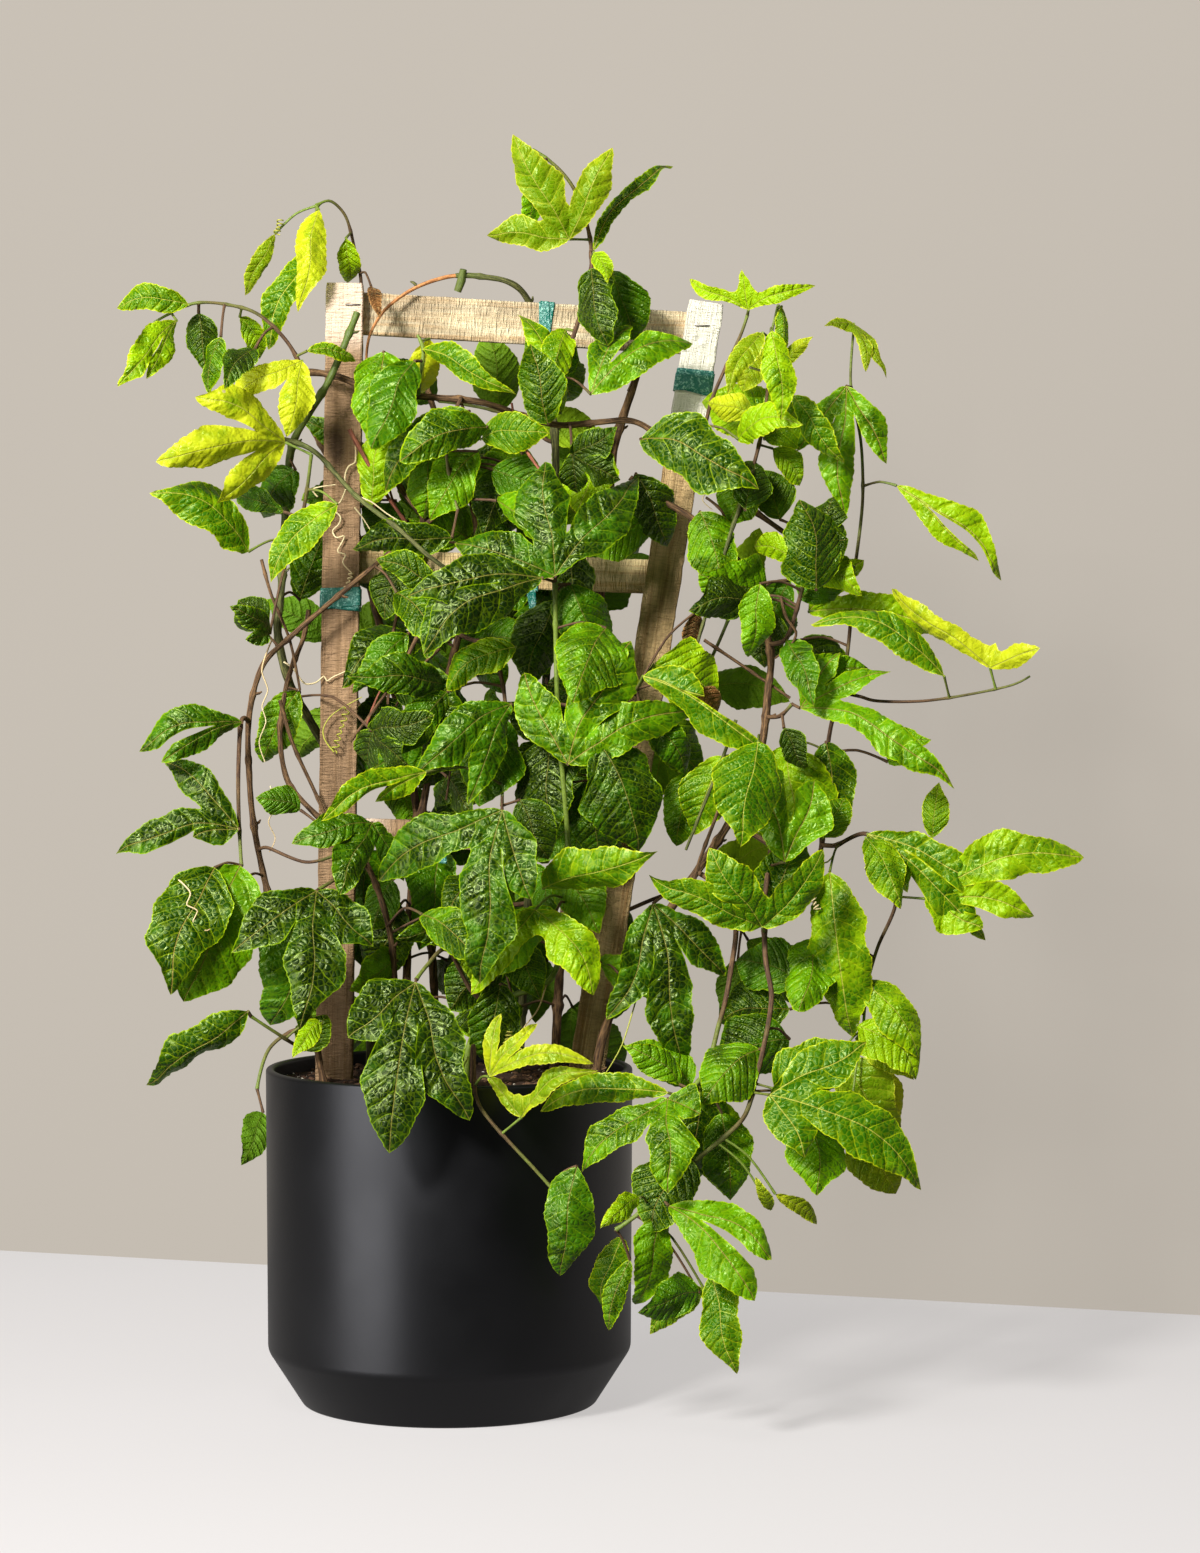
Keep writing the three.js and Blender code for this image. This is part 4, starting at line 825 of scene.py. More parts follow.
def bark(name, dark, pale, fresh, fresh_from, fresh_to, relief):
    return skinned(name, streaky_bark, relief, {
        "Dark": dark, "Pale": pale, "Fresh": fresh, "Fresh from": fresh_from,
        "Fresh to": fresh_to}, Specular_IOR_Level=0.4)[0]


brown_bark = bark("brown_bark", paint(56, 36, 20), paint(138, 104, 66), paint(104, 104, 40),
                  0.95, 1.5, 0.0007)
green_bark = bark("green_bark", paint(50, 52, 22), paint(122, 120, 66), paint(92, 110, 38),
                  0.6, 1.3, 0.0006)
dead_skin = bark("dead_skin", paint(150, 88, 46), paint(224, 160, 98), paint(150, 110, 60),
                 2.0, 3.0, 0.0004)


def jointed(places, radii, joints, swell):
    """Radii with a swelling at each joint."""
    for joint in joints:
        radii = radii * (1 + swell * np.exp(-((places - joint) / JOINT_REACH) ** 2))
    return radii


lines, girth = {}, {}
for name, foot_r, tip_r, marks in CANES:
    lines[name] = rounded(route(marks))
    girth[name] = foot_r
    line, share, places = drawn_out(lines[name], CANE_STEP)
    wobble = 1 + 0.05 * np.sin(places / 6.1 + foot_r * 9) + 0.04 * np.sin(places / 2.7)
    joints = np.arange(FIRST_JOINT + 7 * foot_r, places[-1], JOINT_SPACING)
    radii = jointed(places, (foot_r + (tip_r - foot_r) * share) * wobble, joints, JOINT_SWELL)
    green = name in ("cane_left", "cane_top")
    runs = [(line, radii, share if green else 0.5 * share)]
    for number, joint in enumerate(joints):          # old leaf scars and dead buds
        at = int(np.searchsorted(places, joint))
        if at < 2 or line[at][2] < MIX_TOP + 10 or number % 2:
            continue
        course = unit(line[min(at + 1, len(line) - 1)] - line[at - 1])
        out = unit(np.cross(course, [math.sin(number * 2.1), -1, math.cos(number * 2.1)]))
        spur = [line[at] + out * radii[at] * 0.6, line[at] + out * (radii[at] + 1.6) + course,
                line[at] + out * (radii[at] + 3.2) + course * 2.6]
        runs.append((spur, np.array([1.2, 1.0, 0.5]), 0.3))
    if name == "cane_top":                           # past a cut side shoot it is thin and dead
        cut = int(np.argmin(np.linalg.norm(line - spot(452, 279, 5), axis=1)))
        shoot = [spot(464, 271, 4), spot(462, 282, 6), spot(458, 293, 7)]
        runs[0] = (line[:cut], radii[:cut] * (1.1 - 0.25 * share[:cut]), share[:cut])
        runs.append((shoot, np.array([2.4, 3.1, 2.6]), 0.7))
        tail_r = 1.5 - 0.6 * np.linspace(0, 1, len(line) - cut + 2)
        tail = sticks("cane_top_tail", [(line[cut - 2:], tail_r, 0)], STEM_SIDES,
                      dead_skin)
        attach(tail, "root")
        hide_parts(name)
    cane = sticks(name + "_bark", runs, CANE_SIDES, green_bark if green else brown_bark)
    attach(cane, "root")
    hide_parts(name)

# ---- Leafy stems. Thirty-two young stems twine from the canes and hang over the pot. Each carries
# its leaves on stalks that are swollen at both ends. A mark is [across, down, depth in mm behind
# the pot's middle]; a leaf is [age, lobe width in steps, roll, foot mark, tip mark, side lobes].
STEMS = [                         # name, what it grows from, radius at both ends, marks, leaves
  ['stem_centre', '', 2.4, 1.7, [[470, 1135, -44], [468, 1050, -48], [505, 1000, -50],
    [545, 985, -54], [562, 945, -58], [568, 848, -64], [558, 716, -72], [555, 582, -78]], [
    ['dark', 58, 0, [555, 576, -84], [545, 460, -62], [453, 537], [638, 465]],
    ['mid', 56, 0, [568, 764, -92], [630, 640, -80], [529, 675], [690, 706]],
    ['light', 42, -10, [543, 889, -100], [656, 855, -120]],
    ['light', 46, 5, [535, 910, -108], [594, 994, -126], [473, 984]],
    ['light', 34, 0, [558, 622, -62], [604, 655, -60]],
    ['dark', 40, 10, [572, 590, -46], [588, 646, -40]]]],
  ['stem_crown', 'cane_across', 1.9, 1.1, [[552, 388, -32], [569, 350, -32], [590, 279, -28],
    [589, 235, -26], [574, 191, -24], [553, 166, -24], [533, 152, -26]], [
    ['young', 40, 0, [569, 241, -40], [512, 138, -30], [483, 240], [606, 155]],
    ['mid', 18, 25, [542, 168, -36], [518, 244, -44]],
    ['mid', 17, 30, [593, 252, -30], [672, 164, -10]],
    ['light', 16, 0, [594, 254, -46], [607, 284, -52]],
    ['dark', 42, -10, [591, 270, -44], [606, 346, -60]],
    ['mid', 48, 10, [591, 395, -62], [692, 342, -70], [636, 332]],
    ['light', 30, -20, [561, 414, -44], [519, 313, -48]],
    ['dark', 22, 15, [545, 372, -16], [528, 327, -10]],
    ['dark', 26, 0, [556, 380, -8], [576, 345, -4]]]],
  ['stem_top_left', 'cane_across', 1.6, 1.0, [[460, 402, -38], [447, 438, -46], [450, 479, -48],
    [458, 510, -50]], [
    ['mid', 38, 10, [470, 412, -52], [384, 492, -58]],
    ['mid', 42, -15, [432, 446, -36], [424, 520, -44]],
    ['light', 36, 5, [482, 440, -44], [548, 434, -40]],
    ['dark', 42, -5, [492, 470, -30], [548, 500, -34]],
    ['dark', 34, 10, [452, 538, -62], [352, 552, -70]]]],
  ['stem_top_light', 'cane_across', 1.5, 1.0, [[420, 380, -36], [424, 352, -40], [418, 336, -40]], [
    ['dark', 44, 5, [415, 362, -48], [372, 448, -62]],
    ['light', 24, -20, [423, 350, -52], [514, 396, -60]],
    ['young', 32, 20, [430, 340, -30], [404, 412, -30]]]],
  ['stem_arch', 'cane_left', 1.7, 0.9, [[309, 410, -46], [306, 381, -52], [291, 347, -56],
    [263, 318, -60], [234, 307, -62], [194, 305, -66], [155, 324, -70]], [
    ['light', 25, 20, [190, 306, -76], [118, 310, -92]],
    ['light', 32, 0, [178, 322, -84], [121, 387, -92], [150, 384]],
    ['dark', 28, 10, [200, 314, -58], [206, 371, -58]],
    ['mid', 24, -25, [222, 338, -72], [209, 395, -80]],
    ['light', 22, 10, [241, 318, -50], [262, 360, -44]],
    ['dark', 26, 0, [256, 350, -74], [226, 388, -82]],
    ['young', 36, 0, [303, 362, -66], [288, 437, -78], [232, 400]],
    ['light', 13, 10, [308, 352, -60], [358, 362, -66]]]],
  ['stem_hook', 'cane_across', 1.6, 0.9, [[352, 400, 44], [360, 330, 34], [362, 284, 28],
    [356, 253, 20], [347, 219, 12], [331, 203, 4], [318, 208, -2]], [
    ['young', 28, 10, [320, 212, -10], [299, 312, -20]],
    ['light', 30, -15, [314, 252, -4], [270, 350, -14]],
    ['light', 22, 10, [347, 240, 4], [349, 286, 0]],
    ['young', 16, 20, [276, 236, -2], [247, 298, -10]]]],
  ['stem_left_upper', 'cane_left', 1.7, 1.2, [[296, 540, -26], [306, 500, -42], [312, 455, -54]], [
    ['young', 46, 5, [286, 443, -66], [159, 464, -86], [200, 410], [217, 513]],
    ['light', 46, -10, [249, 552, -40], [153, 492, -56]],
    ['dark', 24, 15, [284, 512, -34], [234, 494, -30]],
    ['light', 34, -15, [338, 505, -62], [270, 582, -72]],
    ['dark', 24, 0, [270, 634, -52], [232, 607, -60], [243, 645]]]],
  ['stem_left_middle', 'cane_twin_left', 1.8, 1.2, [[241, 722, -50], [238, 780, -58],
    [239, 829, -64], [241, 866, -68]], [
    ['dark', 34, -10, [242, 722, -64], [140, 752, -80], [163, 768]],
    ['dark', 40, 0, [238, 829, -72], [114, 853, -94], [162, 765], [196, 851]],
    ['mid', 80, 5, [240, 866, -74], [184, 1002, -96]]]],
  ['stem_left_lower', 'cane_twin_right', 1.7, 1.2, [[352, 868, -46], [334, 880, -66],
    [318, 890, -78]], [
    ['dark', 60, 0, [316, 891, -84], [300, 1029, -98], [234, 951], [375, 948]],
    ['dark', 26, 10, [300, 810, -44], [256, 798, -48]]]],
  ['stem_left_edge', 'cane_twin_left', 1.6, 1.1, [[298, 1046, -48], [282, 1038, -66],
    [250, 1017, -80]], [
    ['mid', 36, 20, [247, 1012, -84], [146, 1090, -98]],
    ['light', 20, 0, [320, 1022, -72], [292, 1058, -76]]]],
  ['stem_front_left', 'stem_centre', 1.7, 1.3, [[470, 990, -66], [448, 950, -86], [430, 962, -110],
    [416, 980, -126]], [
    ['dark', 68, 0, [415, 983, -138], [388, 1153, -158], [350, 1040], [470, 1120]],
    ['light', 24, 20, [466, 950, -96], [480, 1000, -104]]]],
  ['stem_inner_left', 'cane_back', 1.8, 1.2, [[472, 640, 0], [492, 650, -34], [505, 700, -54],
    [503, 760, -64], [502, 806, -72]], [
    ['light', 34, 5, [516, 647, -74], [446, 690, -84]],
    ['dark', 42, -5, [511, 704, -78], [417, 775, -96], [473, 807]],
    ['light', 32, 10, [426, 772, -104], [322, 822, -112], [378, 811]],
    ['dark', 58, 0, [502, 810, -110], [478, 985, -122], [368, 880], [535, 900]],
    ['dark', 34, 0, [447, 692, -58], [397, 757, -66]]]],
  ['stem_inner_top', 'cane_back', 1.6, 1.2, [[470, 614, 2], [452, 610, -26], [425, 618, -38]], [
    ['dark', 36, -10, [479, 574, -60], [426, 656, -70]],
    ['dark', 30, 10, [408, 634, -44], [353, 694, -52]],
    ['mid', 30, 10, [440, 590, -40], [376, 560, -46]]]],
  ['stem_top_right', 'cane_across', 1.6, 1.0, [[700, 446, -44], [712, 399, -52], [739, 339, -56],
    [747, 316, -58]], [
    ['light', 16, 10, [748, 311, -64], [814, 288, -72], [686, 285], [744, 278]],
    ['mid', 56, -5, [640, 440, -72], [757, 488, -84]],
    ['young', 26, 10, [752, 416, -66], [707, 404, -74]],
    ['light', 26, -10, [792, 396, -78], [843, 465, -90]],
    ['light', 30, 0, [738, 440, -50], [800, 425, -50]]]],
  ['stem_top_right_light', 'cane_right_low', 1.6, 0.9, [[732, 528, -54], [748, 484, -62],
    [762, 430, -64], [768, 380, -62], [770, 340, -60], [778, 306, -58]], [
    ['young', 22, 10, [762, 334, -74], [728, 394, -80]],
    ['light', 28, 0, [771, 332, -82], [781, 421, -90]],
    ['light', 12, 20, [781, 308, -66], [781, 362, -72]],
    ['young', 13, 20, [786, 366, -60], [812, 338, -66]],
    ['light', 24, 0, [772, 449, -52], [800, 486, -50]],
    ['dark', 36, 0, [745, 510, -80], [755, 460, -84]]]],
  ['stem_right', 'cane_right_low', 2.0, 0.9, [[770, 845, -52], [806, 868, -48], [822, 845, -44],
    [823, 788, -40], [831, 726, -36], [842, 685, -34], [849, 638, -32], [854, 574, -30],
    [862, 504, -28], [860, 440, -26], [850, 385, -24], [853, 330, -24]], [
    ['mid', 36, 0, [846, 387, -38], [844, 517, -42], [797, 453], [886, 464]],
    ['young', 15, 15, [853, 325, -32], [866, 371, -36], [824, 326], [888, 374]],
    ['light', 34, 10, [896, 486, -36], [1001, 582, -44], [973, 566]],
    ['light', 32, 0, [823, 838, -62], [846, 797, -70]],
    ['mid', 30, 10, [888, 762, -50], [930, 740, -54]]]],
  ['stem_right_twig', 'stem_right', 1.3, 0.7, [[862, 697, -46], [878, 701, -54], [923, 701, -62],
    [971, 694, -68], [1012, 685, -72], [1030, 676, -74]], [
    ['light', 30, -15, [944, 676, -78], [812, 622, -64]],
    ['young', 26, 10, [990, 668, -76], [888, 590, -66], [1037, 656]]]],
  ['stem_right_low', 'stem_right', 1.7, 1.0, [[838, 845, -62], [867, 834, -72], [890, 868, -76],
    [896, 905, -74], [880, 943, -72], [868, 985, -72], [864, 1030, -74]], [
    ['light', 46, 5, [868, 834, -84], [986, 942, -98], [900, 901], [1001, 898]],
    ['light', 50, -5, [926, 899, -88], [1084, 858, -104], [1039, 930], [989, 945]],
    ['light', 24, 0, [933, 838, -66], [939, 782, -62]],
    ['light', 54, 5, [830, 872, -92], [852, 1040, -104]],
    ['light', 38, 0, [862, 982, -86], [920, 1058, -96]],
    ['young', 28, 10, [857, 1040, -66], [914, 1080, -66]],
    ['young', 28, 10, [852, 1062, -48], [901, 1122, -44]]]],
  ['stem_middle_right', 'cane_right_low', 1.8, 1.2, [[785, 640, -60], [795, 615, -66],
    [804, 580, -70], [812, 553, -72]], [
    ['dark', 52, 5, [816, 553, -82], [833, 496, -80], [850, 540]],
    ['light', 34, 0, [800, 560, -60], [860, 596, -66], [752, 552]],
    ['dark', 42, 10, [754, 600, -72], [690, 612, -78]],
    ['mid', 32, 0, [760, 584, -86], [748, 658, -94]]]],
  ['stem_right_inner', 'cane_right_low', 1.6, 1.1, [[780, 716, -66], [792, 704, -72]], [
    ['dark', 26, 0, [784, 728, -76], [806, 770, -80]],
    ['mid', 34, 10, [800, 708, -78], [955, 785, -92], [834, 664], [884, 685]]]],
  ['stem_front_middle', 'stem_centre', 1.5, 1.1, [[584, 704, -74], [612, 692, -80],
    [636, 690, -88]], [
    ['light', 46, 0, [643, 676, -104], [766, 755, -112], [700, 706]],
    ['dark', 32, 5, [642, 712, -84], [686, 776, -88]]]],
  ['stem_hang_left', 'cane_right_low', 2.0, 1.5, [[722, 890, -80], [736, 925, -94],
    [732, 965, -104], [726, 1000, -112], [718, 1030, -120], [706, 1072, -134], [684, 1098, -146]], [
    ['dark', 48, 0, [653, 904, -104], [683, 1074, -124], [605, 1021], [722, 977]],
    ['mid', 48, 0, [668, 1100, -160], [667, 1193, -172], [577, 1167], [700, 1117]],
    ['mid', 46, -10, [722, 1114, -136], [731, 1203, -146]],
    ['light', 26, 10, [668, 1094, -150], [538, 1114, -160]],
    ['mid', 26, -10, [680, 1086, -134], [624, 1046, -132]]]],
  ['stem_hang', 'cane_right_low', 2.0, 1.5, [[768, 800, -78], [772, 840, -92], [765, 900, -106],
    [766, 960, -118], [772, 996, -124], [766, 1039, -132], [755, 1085, -140], [742, 1122, -144],
    [700, 1159, -148], [669, 1190, -152], [636, 1218, -154], [616, 1232, -154]], [
    ['light', 48, 0, [762, 927, -130], [709, 850, -132], [648, 884], [822, 866]],
    ['mid', 60, 5, [785, 862, -112], [752, 745, -104], [812, 782]],
    ['light', 54, 0, [770, 1096, -158], [924, 1192, -172], [859, 1057], [796, 1174]],
    ['mid', 48, 0, [669, 1208, -168], [755, 1302, -180], [770, 1264]],
    ['light', 36, 5, [712, 1278, -160], [737, 1378, -164]],
    ['mid', 34, 0, [662, 1212, -156], [636, 1310, -160]],
    ['light', 26, 10, [704, 1291, -146], [650, 1338, -150]],
    ['light', 20, 20, [640, 1200, -178], [602, 1230, -182]],
    ['mid', 20, -20, [630, 1262, -146], [608, 1334, -148]],
    ['young', 14, 10, [776, 1196, -150], [819, 1228, -154]]]],
  ['stem_rim', '', 1.5, 1.1, [[472, 1135, -78], [472, 1055, -98], [474, 1052, -126],
    [474, 1080, -146], [482, 1112, -150], [530, 1166, -152], [583, 1225, -152]], [
    ['young', 20, 0, [489, 1078, -158], [592, 1064, -166], [501, 1025], [538, 1035]],
    ['young', 20, 10, [521, 1119, -160], [596, 1072, -164], [492, 1083]],
    ['dark', 42, 5, [577, 1168, -166], [559, 1280, -172]]]],
  ['stem_loop', 'cane_twin_left', 1.3, 1.0, [[268, 848, -48], [303, 862, -54], [333, 856, -54],
    [369, 838, -52]], []],
  ['stem_behind_left', 'cane_across', 1.8, 1.2, [[392, 740, 76], [356, 700, 98], [332, 640, 112],
    [322, 580, 120]], [
    ['mid', 40, 0, [350, 706, 112], [296, 760, 126]],
    ['dark', 38, 10, [326, 640, 124], [266, 600, 132]],
    ['mid', 44, -10, [350, 660, 120], [402, 590, 130]],
    ['light', 40, 0, [322, 574, 132], [338, 486, 128], [296, 530]]]],
  ['stem_behind_middle', 'cane_top', 1.8, 1.2, [[560, 720, 82], [580, 660, 106], [592, 600, 124],
    [588, 530, 134]], [
    ['mid', 50, 0, [588, 524, 144], [560, 424, 136], [520, 480]],
    ['dark', 44, 5, [596, 610, 136], [660, 560, 140]],
    ['light', 44, -5, [584, 680, 124], [640, 760, 140]]]],
  ['stem_behind_right', 'cane_right', 1.8, 1.2, [[612, 770, 68], [656, 735, 98], [700, 680, 118],
    [728, 620, 126]], [
    ['mid', 50, 0, [664, 742, 116], [700, 830, 130], [640, 800]],
    ['mid', 44, 5, [706, 690, 132], [790, 700, 136]],
    ['light', 44, 0, [730, 614, 136], [760, 530, 128]]]],
  ['stem_behind_low', 'cane_top', 1.8, 1.2, [[500, 900, 86], [474, 840, 112], [446, 780, 130],
    [436, 720, 138]], [
    ['dark', 50, 0, [500, 880, 116], [550, 960, 128], [480, 960]],
    ['mid', 46, 0, [460, 830, 130], [386, 850, 142]],
    ['mid', 44, 5, [436, 714, 146], [440, 620, 140]]]],
  ['stem_behind_rim', 'cane_right', 1.8, 1.3, [[604, 920, 72], [652, 900, 98], [706, 890, 116],
    [742, 930, 128]], [
    ['dark', 46, 0, [738, 962, 120], [786, 1010, 130], [720, 1016]],
    ['light', 40, 5, [712, 880, 130], [790, 850, 134]],
    ['mid', 44, 0, [748, 940, 140], [812, 1010, 152]]]],
  ['stem_behind_pot', '', 1.7, 1.2, [[345, 1135, 66], [334, 1055, 80], [302, 1030, 104],
    [268, 1050, 116], [256, 1090, 112]], [
    ['dark', 28, 0, [262, 1114, 108], [241, 1166, 104]],
    ['mid', 40, 0, [300, 1024, 118], [330, 940, 124]],
    ['mid', 44, 10, [310, 1036, 130], [392, 1060, 158]]]],
  ['stem_behind_top', 'cane_top', 1.7, 1.1, [[546, 440, 72], [520, 420, 96], [480, 408, 112],
    [440, 402, 120]], [
    ['mid', 44, 0, [500, 412, 116], [486, 330, 104]],
    ['dark', 42, 10, [436, 400, 130], [372, 370, 126]],
    ['light', 40, 0, [526, 430, 108], [600, 440, 120]]]],
]
LEAF_BOW, LEAF_LEAN, LEAF_TURN, LEAF_FOLD = 0.13, 24.0, 16.0, 0.22
LOBE_HALF, SIDE_LOBE_WIDTH, LOBE_LIMIT = 0.35, 0.82, 1.25
CLEARANCE, OWN_CLEARANCE = 8.5, 4.0
STRAIGHT_STALK, STALK_RISE = 24, 0.12   # a stalk under 24 mm is straight
STEM_STEP, STALK_STEP = 2.6, 2.5        # mm between the rows of their bark
SOFT_SWELL = 0.3                        # how far a green joint swells


def nearest_on(line, point):
    run = line[1:] - line[:-1]
    t = np.clip(((point - line[:-1]) * run).sum(1) / (run * run).sum(1), 0, 1)
    at = line[:-1] + run * t[:, None]
    return at[np.argmin(np.round(np.linalg.norm(at - point, axis=1), 9))]


for name, parent, foot_r, _, marks, _ in STEMS:
    points = [spot(*mark) for mark in marks]
    if parent:
        points.insert(0, nearest_on(lines[parent], points[0]))
    lines[name] = rounded(np.array(points))
    girth[name] = foot_r


def spun(x, y, angle):
    c, s = math.cos(angle), math.sin(angle)
    return x * c - y * s, x * s + y * c


class Leaf:
    """A leaf set in space: its foot, its axes and its lobes. No two lean and turn alike."""

    def __init__(self, row, number, shift, tilt):
        self.age, width, roll, foot, tip = row[:5]
        self.number = number
        self.base = spot(foot[0], foot[1], foot[2] + shift)
        lean = LEAF_LEAN * math.sin(1.7 * number + 1)
        along = spot(tip[0], tip[1], tip[2] + shift + tilt + lean) - self.base
        self.length = math.sqrt(along @ along)
        self.along = along / self.length
        eye = unit(EYE - self.base)
        facing = unit(eye - self.along * (eye @ self.along))
        beside = np.cross(facing, self.along)
        turn = math.radians(roll + LEAF_TURN * math.sin(2.4 * number))
        self.face = facing * math.cos(turn) + beside * math.sin(turn)
        self.side = beside * math.cos(turn) - facing * math.sin(turn)
        half = width * LOBE_HALF
        self.lobes = [(0.0, half, self.length)]
        for across, down in row[5:]:
            sight = spot(across, down, 0) - EYE
            reach = ((self.base - EYE) @ self.face) / (sight @ self.face)
            mark = EYE + sight * reach - self.base
            x, y = mark @ self.along, mark @ self.side
            self.lobes.append((math.atan2(y, x), half * SIDE_LOBE_WIDTH,
                               min(math.hypot(x, y), LOBE_LIMIT * self.length)))
        self.lobes.sort(key=lambda lobe: -lobe[0])

    def in_space(self, x, y, lift):
        r = np.hypot(x, y) / self.length
        height = self.length * LEAF_BOW * 4 * r * (1 - r) - LEAF_FOLD * np.abs(y) + lift
        return (self.base + x[..., None] * self.along + y[..., None] * self.side
                + height[..., None] * self.face)

    def check_points(self):
        t, w = np.meshgrid([0.12, 0.3, 0.48, 0.66, 0.84, 1], [-0.9, -0.3, 0.3, 0.9])
        made = []
        for angle, half, length in self.lobes:
            flat = spun(length * t, w * lobe_half(half, t), angle)
            made.append(self.in_space(*flat, 0 * t).reshape(-1, 3))
        return np.concatenate(made)

    def stalk(self, line):
        foot = nearest_on(line[1:], self.base)
        away = np.linalg.norm(self.base - foot)
        middle = (foot + self.base) / 2 + np.array([0, 0, STALK_RISE * away])
        return np.array([foot, self.base] if away < STRAIGHT_STALK else [foot, middle, self.base])


def lobe_half(half, t):
    return half * np.maximum(0, 4 * t * (1 - t)) ** 0.7 * (1.08 - 0.16 * t)


def spaced(line, step):
    made = []
    for a, b in zip(line, line[1:]):
        count = max(1, math.ceil(np.linalg.norm(b - a) / step - 1e-12))
        made += [a + (b - a) * k / count for k in range(count)]
    return np.array(made + [line[-1]])


FAR = 99.0
LINE_CHECK, STALK_CHECK = 6, 7    # mm between the points that are checked
BLADE_EASE, STALK_EASE = 3, 4     # mm less clearance that blades and stalks need at the boards


class Cluster:
    def __init__(self, owner, points, slack, leaf=False):
        self.owner, self.points, self.slack, self.leaf = owner, points, slack, leaf
        self.middle = points.mean(0)
        self.radius = np.linalg.norm(points - self.middle, axis=1).max()


def board_clearance(points):
    least = np.full(len(points), np.inf)
    for board in boards.values():
        off = points - board.start
        u = np.abs(off @ board.along - board.length / 2) - board.length / 2
        v = np.abs(off @ board.across) - board.width / 2
        w = np.abs(points[:, 1] - board.depth) - board.thick / 2
        least = np.minimum(least, np.sqrt(np.maximum(u, 0) ** 2 + np.maximum(v, 0) ** 2
                                          + np.maximum(w, 0) ** 2))
    return least


def pot_clearance(points):
    outside = np.hypot(points[:, 0], points[:, 1]) - POT_RIM_R
    return np.where(points[:, 2] > POT_HEIGHT + 20, FAR,
                    np.maximum(outside, points[:, 2] - POT_HEIGHT))


def clearance_of(points, group, middles, radii):
    """Least distance from these points to a group of clusters that are already placed."""
    if not group:
        return FAR
    middle = points.mean(0)
    radius = np.linalg.norm(points - middle, axis=1).max()
    far = np.linalg.norm(middles - middle, axis=1) - radius - radii
    near = [group[k] for k in np.nonzero(far <= CLEARANCE + 4)[0]]
    if not near:
        return FAR
    others = np.concatenate([item.points for item in near])
    slack = np.concatenate([np.full(len(item.points), item.slack) for item in near])
    squares = ((points ** 2).sum(1)[:, None] + (others ** 2).sum(1) - 2 * points @ others.T)
    return min(FAR, float((np.sqrt(np.maximum(squares, 0)) + slack).min()))


def grouped(items):
    return (items, np.array([item.middle for item in items]),
            np.array([item.radius for item in items]))


settled = [Cluster(name, spaced(line, LINE_CHECK), -girth[name] / 2)
           for name, line in lines.items()]
SHIFT_STEP, TILTS = 11, (0, 18, -18)   # mm
SHIFTS = [0] + [sign * SHIFT_STEP * k for k in range(1, 9) for sign in (-1, 1)]


def settle(name, line, row, number, least_free=-FAR):
    """Each leaf keeps its place in elevation and moves back or forward until it is clear."""
    best = None
    others = grouped([item for item in settled if item.owner != name])
    other_leaves = grouped([item for item in settled if item.owner != name and item.leaf])
    own = grouped([item for item in settled if item.owner == name and item.leaf])
    for shift in SHIFTS:
        for tilt in TILTS:
            leaf = Leaf(row, number, shift, tilt)
            points = leaf.check_points()
            stalk = leaf.stalk(line)
            stalk_points = spaced(stalk, STALK_CHECK)[1:]
            edge = min(board_clearance(points).min(), pot_clearance(points).min(),
                       board_clearance(stalk_points).min() + STALK_EASE,
                       pot_clearance(stalk_points).min() + STALK_EASE)
            least = min(edge + BLADE_EASE, clearance_of(points, *others))
            if best and least < best[0]:
                continue
            least = min(least, clearance_of(stalk_points, *other_leaves) + 1,
                        clearance_of(points, *own) + CLEARANCE - OWN_CLEARANCE)
            if best is None or least > best[0] + 1e-9:
                best = (least, leaf, stalk, points)
            if least >= CLEARANCE:
                break
        if best[0] >= CLEARANCE:
            break
    free, leaf, stalk, points = best
    if free < least_free:
        return None
    taken = np.concatenate([points, spaced(stalk, STALK_CHECK)[2:]])
    settled.append(Cluster(name, taken, 0, True))
    return leaf, stalk


def smoothstep(low, high, x):
    t = np.clip((x - low) / (high - low), 0, 1)
    return t * t * (3 - 2 * t)


BLADE_STEP = 2.0                  # mm between the rows of a blade
PITCH_LEAST, PITCH_MOST, PITCHES = 4.2, 12.0, 7.5   # mm between side veins, and their number
VEIN_LEAN, VEIN_BOW, RIB_HALF, RIB_SINK = 0.62, 0.1, 0.7, 0.3
SINUS_DEPTH, LOBE_SLIM, PUCKER, TIP_DROOP = 0.76, 0.9, 0.1, 0.05
TEETH = np.array([-0.35, 0.3, 0.1, -0.45, 0.45, 0.0, 0.25])   # mm, in turn along a margin
COLUMNS = np.array([0, 0.2, 0.42, 0.64, 0.84, 1.0])           # shares of the way to the margin
EDGE_WAVE, SWEEP, CURL, LOBE_BEND = 2.8, 0.11, 0.34, 0.055
BACK_FROM, BACK_CURL = 70, 0.5    # leaves behind the ladder lie flatter


def ruffle(x, y, phase):
    """A wandering rise and fall between -1 and 1 over a surface."""
    return np.sin(x + 1.7 * np.sin(0.71 * y + phase)) * np.sin(1.13 * y + 1.4 * np.sin(
        0.83 * x + 2.3 * phase))


